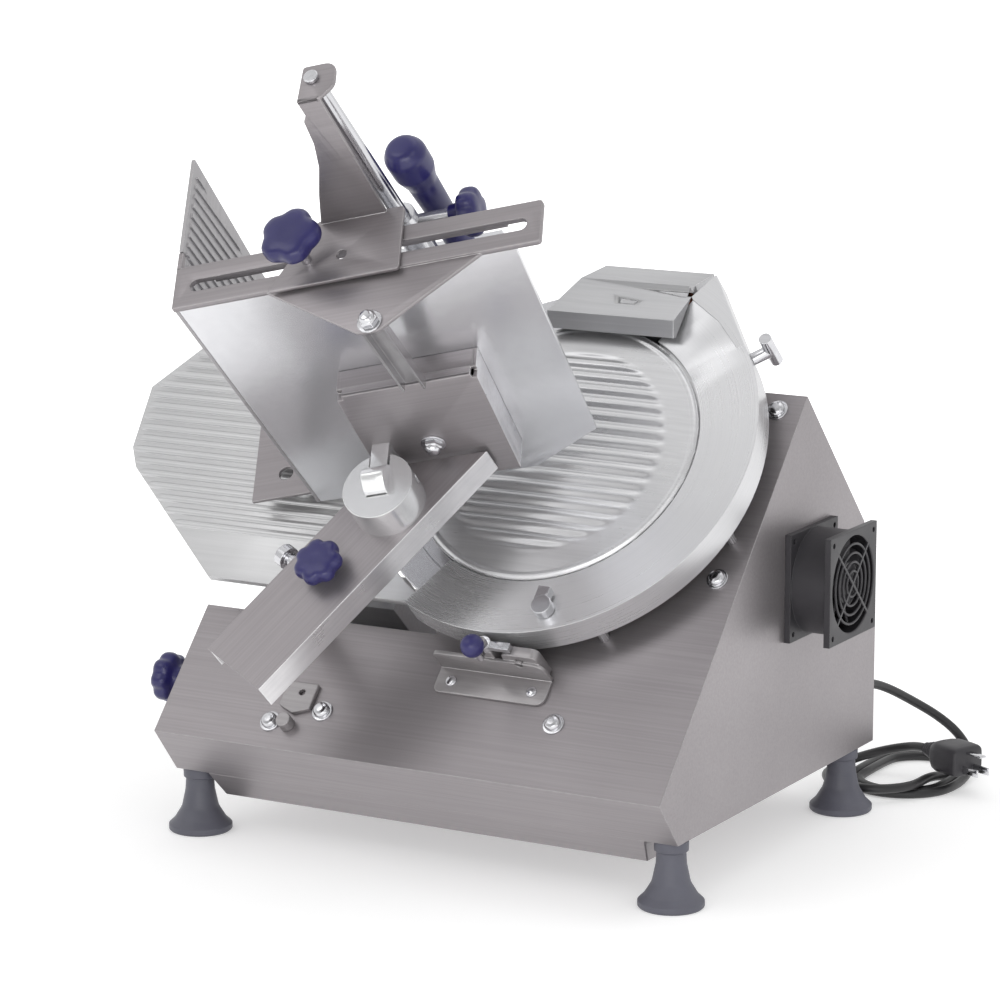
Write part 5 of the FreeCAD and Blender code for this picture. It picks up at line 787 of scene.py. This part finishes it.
# Domed bolts on washers, low round screws, and cap nuts with six flats.
bolt = {"line": [(0, 0, 0), (8.5, 0, 0.1), (8.5, 1.5, 0.5), (6.4, 1.5, 0), (6.5, 1.5, 0.2), (6.4, 3.4, 1.2),
                 (5.2, 5.6, 2.0), (2.8, 6.5, 2.0), (0, 6.5, 0)],
        "places": [(199.7, 342.2, 0), (200.8, 191.0, 0), (112.9, 53.6, 0), (-122.3, 22.2, 0), (-81.5, 36.9, 0)]}
screw = {"line": [(0, 0, 0), (4.6, 0, 0.3), (4.2, 1.6, 1.0), (0, 2.6, 0)],
         "places": [(18.0, 76.0, 3.0), (87.0, 76.0, 3.0)]}
nut = {"washer": [(0, 0, 0), (9.5, 0, 0.1), (9.5, 1.5, 0.5), (0, 1.5, 0)],
       "flats": [(0, 1.5), (7.1, 1.5), (7.5, 1.9), (7.5, 5.2), (6.6, 6.0), (0, 6.0)],
       "cap": [(5.9, 5.6, 0), (5.9, 7.0, 1.5), (4.4, 9.2, 2.5), (0, 10.0, 0)],
       "places": [(66.0, 197.0, 129.0, "front"), (92.0, 177.0, 308.0, "up")]}


def makeFasteners():
    bolts, nuts = bmesh.new(), bmesh.new()
    for place in bolt["places"]:
        joinForm(bolts, turnedForm(bolt["line"], 0.3, 48), at(incline, *place))
    for place in screw["places"]:
        joinForm(bolts, turnedForm(screw["line"], 0.8, 32), at(incline, *place))
    for place in nut["places"]:
        seat = at(carriage, *place)
        joinForm(nuts, turnedForm(nut["washer"], 0.3, 48), seat)
        joinForm(nuts, lathe(nut["flats"], 6), seat)
        joinForm(nuts, turnedForm(nut["cap"], 2.0, 40), seat)
    standIn("housing_bolts", "dome_bolts", bolts, 40)
    standIn("acorn_nuts", "cap_nuts", nuts, 30)


makeFasteners()

# Bell shaped feet.
foot = {"line": [(0, 0, 0), (23.6, 0, 0.5), (25.0, 1.4, 1.0), (25.0, 5.2, 1.2), (20.4, 9.6, 8.0),
                 (14.6, 19.0, 14.0), (11.6, 33.0, 12.0), (11.0, 42.4, 0.6), (12.8, 43.4, 0.5), (13.0, 50.9, 0.4),
                 (0, 51.0, 0)],
        "along": {"front": 44.0, "rear": 342.0}, "across": {"left": -207.5, "right": 207.5}}
for end, along in foot["along"].items():
    for side, across in foot["across"].items():
        footNode = "foot_%s_%s" % (end, side)
        standIn(footNode, footNode + "_bell", turnedForm(foot["line"], 1.0, 80, 6), 50, at(world, across, along))
print("turned pieces made")


# Knife cover: a dished disc with a field of soft straight ribs and a rolled rim.
cover = {"radius": 115.2, "crown": 40.0, "drop": 3.9, "pitch": 11.4, "rise": 2.1, "field": 93.0, "fade": 10.0,
         "rim": 6.5, "bead": 1.3, "curl": 1.4, "hollow": 37.0, "rings": 150, "spots": 300,
         "underside": [(62.0, 36.4), (104.0, 33.2), (115.2, 33.2)]}


def eased(share):
    share = min(max(share, 0.0), 1.0)
    return share * share * (3 - 2 * share)


def coverHeight(across, along):
    reach = math.hypot(across, along)
    high = cover["crown"] - cover["drop"] * (reach / cover["radius"]) ** 3
    wave = 0.5 + 0.5 * math.cos(math.tau * along / cover["pitch"])
    swell = 1 - (1 - wave) ** 1.7
    high += cover["rise"] * eased((cover["field"] - reach) / cover["fade"]) * (swell - 0.55)
    toRim = (cover["radius"] - reach) / cover["rim"]
    if 0 < toRim < 1:
        high += cover["bead"] * math.sin(math.pi * toRim) ** 2 - cover["curl"] * (1 - toRim) ** 3
    return high


def makeKnifeCover():
    rings = []
    for reach, high in cover["underside"]:
        rings.append([(reach * math.cos(angle), reach * math.sin(angle), high) for angle in around(cover["spots"])])
    for number in range(cover["rings"]):
        reach = cover["radius"] * (1 - number / cover["rings"])
        ring = []
        for angle in around(cover["spots"]):
            across, along = reach * math.cos(angle), reach * math.sin(angle)
            ring.append((across, along, coverHeight(across, along)))
        rings.append(ring)
    standIn("knife_cover", "knife_cover_dressed", skin(rings, (0, 0, cover["hollow"]), (0, 0, coverHeight(0, 0))), 50,
            knifeFrame @ millimetres)


makeKnifeCover()

# Gauge plate: a flat plate cut round the knife, and long beads on its face that taper out at both ends.
gauge = {"corners": [(-209.0, 124.0), (-4.2, 124.0)], "far": [(-82.2, 341.0), (-297.0, 341.0), (-336.0, 290.0),
                                                             (-329.0, 232.0), (-318.0, 214.0)],
         "hub": (50.0, 266.0), "sweep": 152.0, "back": 24.0, "face": 30.0, "first": 168.0, "last": 331.0,
         "arcStart": 249.1, "arcTurn": 98.7, "arcSteps": 40, "edgeGap": 1.2, "knifeGap": 4.0, "sunk": 0.3,
         "pitch": 10.5, "half": 3.3, "rise": 2.6, "taper": 6.0}


# Where the plate's left edge lies at a place along it.
def gaugeEdge(along):
    left = gauge["corners"][:1] + gauge["far"][:0:-1]
    for low, high in zip(left, left[1:]):
        if low[1] <= along <= high[1]:
            return low[0] + (high[0] - low[0]) * (along - low[1]) / (high[1] - low[1])
    return left[-1][0]


# A bead with a rounded back, from its start to its end, drawn in towards both.
def makeBead(start, end, along, base):
    stations = []
    for share in (0.03, 0.12, 0.3, 0.6, 1.0):
        stations.append((share * gauge["taper"], math.sqrt(1 - (1 - share) ** 2)))
    places = [(start + reach, grow) for reach, grow in stations]
    places += [(end - reach, grow) for reach, grow in reversed(stations)]
    rings = []
    for across, grow in places:
        rings.append([(across, along - gauge["half"] * grow * math.cos(math.pi * step / 10),
                       base + gauge["rise"] * grow * math.sin(math.pi * step / 10)) for step in range(11)])
    return skin(rings, (start, along, base), (end, along, base))


def makeGaugePlate():
    hubAcross, hubAlong = gauge["hub"]
    arc = []
    for step in range(gauge["arcSteps"] + 1):
        angle = math.radians(gauge["arcStart"] - gauge["arcTurn"] * step / gauge["arcSteps"])
        arc.append((hubAcross + gauge["sweep"] * math.cos(angle), hubAlong + gauge["sweep"] * math.sin(angle)))
    corners = filleted(gauge["far"][1:] + gauge["corners"][:1], 3.0, False)
    form = prism(gauge["corners"][1:] + arc[1:-1] + gauge["far"][:1] + [tuple(spot) for spot in corners],
                 gauge["back"], gauge["face"], 0.6)
    along = gauge["first"]
    while along < gauge["last"]:
        knifeSide = hubAcross - math.sqrt(gauge["sweep"] ** 2 - (along - hubAlong) ** 2)
        joinForm(form, makeBead(gaugeEdge(along) + gauge["edgeGap"], knifeSide - gauge["knifeGap"], along,
                                gauge["face"] - gauge["sunk"]))
        along += gauge["pitch"]
    standIn("gauge_plate", "gauge_plate_dressed", form, 40, incline @ millimetres)


makeGaugePlate()
print("cover and gauge plate made")


# A second finish on the faces that a test picks by their place and facing in a local frame.
def refinish(piece, finish, frameMatrix, picked):
    piece.data.materials.append(finishes[finish])
    inverse = (frameMatrix @ millimetres).inverted()
    turn = frameMatrix.to_3x3().inverted()
    for face in piece.data.polygons:
        if picked(inverse @ face.center, turn @ face.normal):
            face.material_index = len(piece.data.materials) - 1


# The box under the tray: a face plate with relieved corners, four walls and the hinge's tongue.
bracket = {"face": [(18.0, 203.0), (129.0, 203.0), (117.0, 80.0), (10.0, 80.0)], "sheet": 3.0, "depth": 23.8,
           "relief": 4.5, "reliefDepth": 8.0, "along": 197.0, "tongueAcross": 0.0192, "tongueThick": 17.6,
           "tongue": [(176.0, 118.0, 1), (176.0, 141.0, 12), (164.0, 154.5, 11), (151.0, 143.0, 11),
                      (151.0, 130.0, 4), (160.0, 118.0, 3)],
           "arm": [(174.0, 117.0), (198.0, 117.0), (198.0, 139.0), (174.0, 139.0)], "armReach": (1.0, 15.0)}


def makeTrayBracket():
    form = bmesh.new()
    depth, sheet, relief = bracket["depth"], bracket["sheet"], bracket["relief"]
    farLeft, farRight, nearRight, nearLeft = [Vector(corner) for corner in bracket["face"]]
    outline = [farLeft + Vector((relief, 0)), farRight - Vector((relief, 0)), farRight - Vector((relief, relief)),
               farRight - Vector((0.4, relief)), nearRight, nearLeft, farLeft - Vector((0.3, relief)),
               farLeft + Vector((relief, -relief))]
    seat = at(carriage, 0, bracket["along"], 0, "front")
    joinForm(form, prism([tuple(spot) for spot in outline], -sheet, 0, 0.7, 3), seat)
    middle = (farLeft + farRight + nearRight + nearLeft) / 4
    for first, second in ((farLeft, farRight), (farRight, nearRight), (nearRight, nearLeft), (nearLeft, farLeft)):
        way = (second - first).normalized()
        inward = Vector((-way.y, way.x))
        if inward.dot(middle - first) < 0:
            inward = -inward
        start = first + way * (relief if first in (farLeft, farRight) else 0)
        end = second - way * (relief if second in (farLeft, farRight) else 0)
        wall = [start, end, end + inward * sheet, start + inward * sheet]
        joinForm(form, prism([tuple(spot) for spot in wall], -bracket["reliefDepth"], -0.5, 0.5), seat)
        wall = [first, second, second + inward * sheet, first + inward * sheet]
        joinForm(form, prism([tuple(spot) for spot in wall], -depth, 1.0 - bracket["reliefDepth"], 0.5), seat)
    box = standIn("tray_bracket", "tray_bracket_box", form, 35)
    # The walls facing this way get the lighter copy of the steel: a painted highlight on the side the light falls on.
    refinish(box, "paintedLitSteel", carriage, lambda place, facing: facing.x > 0.9)
    sideways = Matrix(((0, 0, 1, 0), (1, 0, 0, 0), (0, 1, 0, 0), (0, 0, 0, 1)))
    side = carriage @ Matrix.Translation((bracket["tongueAcross"], 0, 0)) @ sideways @ millimetres
    tongue = prism(filleted(bracket["tongue"], 2.0, True, 8), 0.0, bracket["tongueThick"], 0.7, 3)
    joinForm(tongue, prism(bracket["arm"], *bracket["armReach"], 0.7, 3))
    standIn("tray_bracket", "hinge_tongue", tongue, 35, side, "turnedAluminium")


makeTrayBracket()

# The bar across the tray's end, its gusset, and the fold behind its slot.
bar = {"corners": [(-67.5, 220.3, 1), (218.5, 220.3, 3), (218.5, 257.0, 3), (-67.5, 257.0, 1)],
       "tab": [(-67.5, 255.0), (-63.9, 255.0), (-63.9, 271.0), (-67.5, 271.0)], "slot": (-55.0, 207.5, 233.0, 243.4),
       "gusset": [(6.0, 221.5, 1), (83.0, 169.0, 6), (99.0, 169.0, 6), (175.0, 221.5, 1)],
       "fold": [(-38.0, 244.6), (190.0, 244.6), (190.0, 246.8), (-38.0, 246.8)],
       "sheet": (305.0, 310.0), "gussetSheet": (305.0, 308.0), "foldReach": (301.5, 305.5)}


def makeSlottedBar():
    form = holedPrism(filleted(bar["corners"], 1.0), [longHole(*bar["slot"])], *bar["sheet"], 0.6)
    joinForm(form, prism(bar["tab"], *bar["sheet"], 0.5))
    joinForm(form, prism(filleted(bar["gusset"], 1.0), *bar["gussetSheet"], 0.4))
    joinForm(form, prism(bar["fold"], *bar["foldReach"], 0.3))
    standIn("slotted_bar", "slotted_bar_dressed", form, 35, carriage @ millimetres)


makeSlottedBar()

# The pusher's bent sheet: its clamped foot, the waisted arm and the rounded tab at the top.
pusherSheet = {"foot": [(10.0, 216.0, 2), (113.0, 216.0, 3), (113.0, 272.0, 3), (46.0, 272.0, 2)],
               "hole": (67.0, 238.2, 4.0),
               "arm": [(47.0, 311.0, 0), (99.0, 311.0, 0), (104.0, 446.0, 0), (87.0, 446.0, 0), (87.0, 430.0, 2),
                       (83.0, 424.0, 3), (80.0, 400.0, 20), (73.0, 375.0, 30), (60.0, 345.0, 20)],
               "tab": [(87.0, 269.0, 0), (104.0, 269.0, 4), (114.5, 279.0, 9), (114.5, 300.0, 12), (89.0, 300.0, 3)],
               "footSheet": (311.0, 314.0), "tabSheet": (443.0, 446.0), "armAlong": 272.0, "sheet": 3.0}


def makePusherBracket():
    form = holedPrism(filleted(pusherSheet["foot"], 2.0, True, 6), [roundHole(*pusherSheet["hole"])],
                      *pusherSheet["footSheet"], 0.6)
    joinForm(form, prism(filleted(pusherSheet["tab"], 2.0, True, 8), *pusherSheet["tabSheet"], 0.6))
    joinForm(form, prism(filleted(pusherSheet["arm"], 2.0, True, 8), 0.0, pusherSheet["sheet"], 0.6),
             standing(pusherSheet["armAlong"]))
    standIn("pusher_bracket", "pusher_bracket_dressed", form, 35, carriage @ millimetres)


makePusherBracket()

# The bracket on the slope: a screwed flange with round corners, an upright and its lugs.
slopeBracket = {"flange": [(5.0, 66.0, 6), (100.0, 66.0, 9), (100.0, 90.0, 0), (5.0, 90.0, 0)],
                "upright": [(5.0, 1.0, 0), (100.0, 1.0, 0), (100.0, 24.0, 10), (5.0, 24.0, 6)],
                "lug": [(66.0, 2.0, 0), (96.0, 2.0, 0), (96.0, 31.5, 6), (66.0, 31.5, 6)],
                "pad": [(43.0, 2.0, 0), (59.0, 2.0, 0), (59.0, 32.0, 3), (43.0, 32.0, 3)], "eye": (80.0, 22.5, 3.2),
                "sheet": 3.0, "lugThick": 8.5, "uprightAlong": 90.0, "lugAlong": 98.0,
                "post": {"radius": 3.0, "length": 11.0, "edge": 0.5}, "postPlace": (53.0, 94.0, 31.0)}


def makeSlopeBracket():
    sheet, thick, eye = slopeBracket["sheet"], slopeBracket["lugThick"], roundHole(*slopeBracket["eye"])
    rounded = {part: filleted(slopeBracket[part], 2.0, True, 6) for part in ("flange", "upright", "lug", "pad")}
    behind = standing(slopeBracket["lugAlong"])
    form = prism(rounded["flange"], 0.0, sheet, 0.6)
    joinForm(form, holedPrism(rounded["upright"], [eye], 0.0, sheet, 0.6), standing(slopeBracket["uprightAlong"]))
    joinForm(form, holedPrism(rounded["lug"], [eye], 0.0, thick, 0.8), behind)
    joinForm(form, prism(rounded["pad"], 0.0, thick, 0.8), behind)
    joinForm(form, turnedPin(**slopeBracket["post"]), Matrix.Translation(slopeBracket["postPlace"]))
    standIn("guard_bracket", "slope_bracket", form, 35, incline @ millimetres)


makeSlopeBracket()
print("sheet pieces made")


# Solids whose shape is right, with their edges broken: the width of that break in metres.
dressed = {
    "base_housing": 0.0009, "bottom_pan": 0.0012, "ring_guard": 0.0009, "sharpener_housing": 0.0009,
    "ring_fittings": 0.0006, "slice_deflector": 0.0005, "stop_plate": 0.0008, "guide_rod": 0.0006,
    "rod_brackets": 0.0006, "gauge_bearing": 0.0008, "fan_frame": 0.0003, "switch_plate": 0.0006, "knife": 0.0002,
    "latch_lever": 0.0006, "fan_rotor": 0.0002, "start_button": 0.0008, "stop_button": 0.0008,
    "gauge_rods": 0.0005, "carriage_slide": 0.0008, "carriage_leg": 0.0008, "carriage_arm": 0.0007,
    "pivot_boss": 0.0007, "arm_fittings": 0.0008, "tray": 0.0005, "tray_strut": 0.0004, "end_wall": 0.0004,
    "pusher_rod": 0.0008, "pusher_plate": 0.0006, "motor": 0.001, "motor_bracket": 0.0006, "knife_pulley": 0.0006,
}
copies = {nodeName: softCopy(nodeName, width) for nodeName, width in dressed.items()}
ringFeetTop, wallFold = 16.4, -67.2
# The arm's flange faces get the lighter copy of the steel: a painted highlight on the side the light falls on.
refinish(copies["carriage_arm"], "paintedLitSteel", armFrame, lambda place, facing: facing.y < -0.9)
refinish(copies["ring_guard"], "hiddenSteel", knifeFrame, lambda place, facing: place.z < ringFeetTop)
refinish(copies["end_wall"], "traySteel", carriage, lambda place, facing: place.x < wallFold)

# The hood's top is creased: its middle line stands a little higher.
crease = {"along": 0.131, "reach": 0.003, "above": 0.41, "rise": 0.006}
for vertex in copies["sharpener_housing"].data.vertices:
    if abs(vertex.co.y - crease["along"]) < crease["reach"] and vertex.co.z > crease["above"]:
        vertex.co.z += crease["rise"]
print("solids dressed:", len(dressed))

# Floor, white surroundings and soft lamps.
studio = {"floorHalf": 14.0, "floorColour": (0.80, 0.80, 0.80), "nearGlow": 0.36, "farGlow": 1.0, "mirrorGlow": 0.6,
          "nearReach": 0.45, "farReach": 1.3, "skyStrength": 0.80, "dimSide": 0.55,
          "backdropWay": (-0.492, 0.870, 0.0)}
lamps = [
    {"name": "keyLamp", "place": (-1.3, -1.9, 2.4), "size": (1.6, 1.2), "power": 8.0},
    {"name": "fillLamp", "place": (2.3, -1.3, 1.5), "size": (1.4, 1.4), "power": 5.0},
    {"name": "lowLamp", "place": (0.9, -2.2, 0.45), "size": (2.0, 0.8), "power": 13.0},
    {"name": "topLamp", "place": (0.2, 0.6, 2.6), "size": (2.0, 1.4), "power": 5.0},
]


def makeFloor():
    material, tree, shader = startMaterial("floorPaper")
    shader.inputs["Base Color"].default_value = (*studio["floorColour"], 1)
    shader.inputs["Roughness"].default_value = 0.9
    shader.inputs["Specular IOR Level"].default_value = 0.1
    shader.inputs["Emission Color"].default_value = (1, 1, 1, 1)
    path = tree.nodes.new("ShaderNodeLightPath")
    mirrored = mathNode(tree, "MAXIMUM", path.outputs["Is Glossy Ray"], path.outputs["Is Transmission Ray"])
    coordinates = tree.nodes.new("ShaderNodeTexCoord")
    distance = tree.nodes.new("ShaderNodeVectorMath")
    distance.operation = "LENGTH"
    link(tree, coordinates.outputs["Object"], distance.inputs[0])
    glow = rampNode(tree, distance.outputs["Value"], studio["nearReach"], studio["farReach"], studio["nearGlow"],
                    studio["farGlow"])
    direct = mathNode(tree, "MULTIPLY", path.outputs["Is Camera Ray"], glow)
    shown = mathNode(tree, "MULTIPLY", mirrored, studio["mirrorGlow"])
    link(tree, mathNode(tree, "MAXIMUM", direct, shown), shader.inputs["Emission Strength"])
    bm = bmesh.new()
    bmesh.ops.create_grid(bm, x_segments=4, y_segments=4, size=studio["floorHalf"])
    mesh = bpy.data.meshes.new("floor")
    bm.to_mesh(mesh)
    bm.free()
    mesh.materials.append(material)
    floor = bpy.data.objects.new("floor", mesh)
    scene.collection.objects.link(floor)


def makeSky():
    sky = bpy.data.worlds.new("paleRoom")
    scene.world = sky
    sky.use_nodes = True
    tree = sky.node_tree
    tree.nodes.clear()
    path = tree.nodes.new("ShaderNodeLightPath")
    seen = mathNode(tree, "MAXIMUM", path.outputs["Is Camera Ray"],
                    mathNode(tree, "MAXIMUM", path.outputs["Is Glossy Ray"], path.outputs["Is Transmission Ray"]))
    background = tree.nodes.new("ShaderNodeBackground")
    background.inputs["Color"].default_value = (1, 1, 1, 1)
    coordinates = tree.nodes.new("ShaderNodeTexCoord")
    facing = tree.nodes.new("ShaderNodeVectorMath")
    facing.operation = "DOT_PRODUCT"
    facing.inputs[1].default_value = studio["backdropWay"]
    link(tree, coordinates.outputs["Generated"], facing.inputs[0])
    room = rampNode(tree, facing.outputs["Value"], -0.75, 0.25, studio["dimSide"], 1.0)
    direct = mathNode(tree, "MAXIMUM", path.outputs["Is Camera Ray"], room)
    strength = tree.nodes.new("ShaderNodeMix")
    link(tree, seen, strength.inputs["Factor"])
    strength.inputs["A"].default_value = studio["skyStrength"]
    link(tree, direct, strength.inputs["B"])
    link(tree, strength.outputs["Result"], background.inputs["Strength"])
    output = tree.nodes.new("ShaderNodeOutputWorld")
    link(tree, background.outputs[0], output.inputs["Surface"])


def makeLamps():
    for lamp in lamps:
        light = bpy.data.lights.new(lamp["name"], "AREA")
        light.shape = "RECTANGLE"
        light.size, light.size_y = lamp["size"]
        light.energy = lamp["power"]
        holder = bpy.data.objects.new(lamp["name"], light)
        holder.location = lamp["place"]
        aim = Vector((0, 0, 0.25)) - Vector(lamp["place"])
        holder.rotation_euler = aim.to_track_quat("-Z", "Y").to_euler()
        scene.collection.objects.link(holder)


makeFloor()
makeSky()
makeLamps()
scene.view_settings.view_transform = "Standard"
print("stage set")
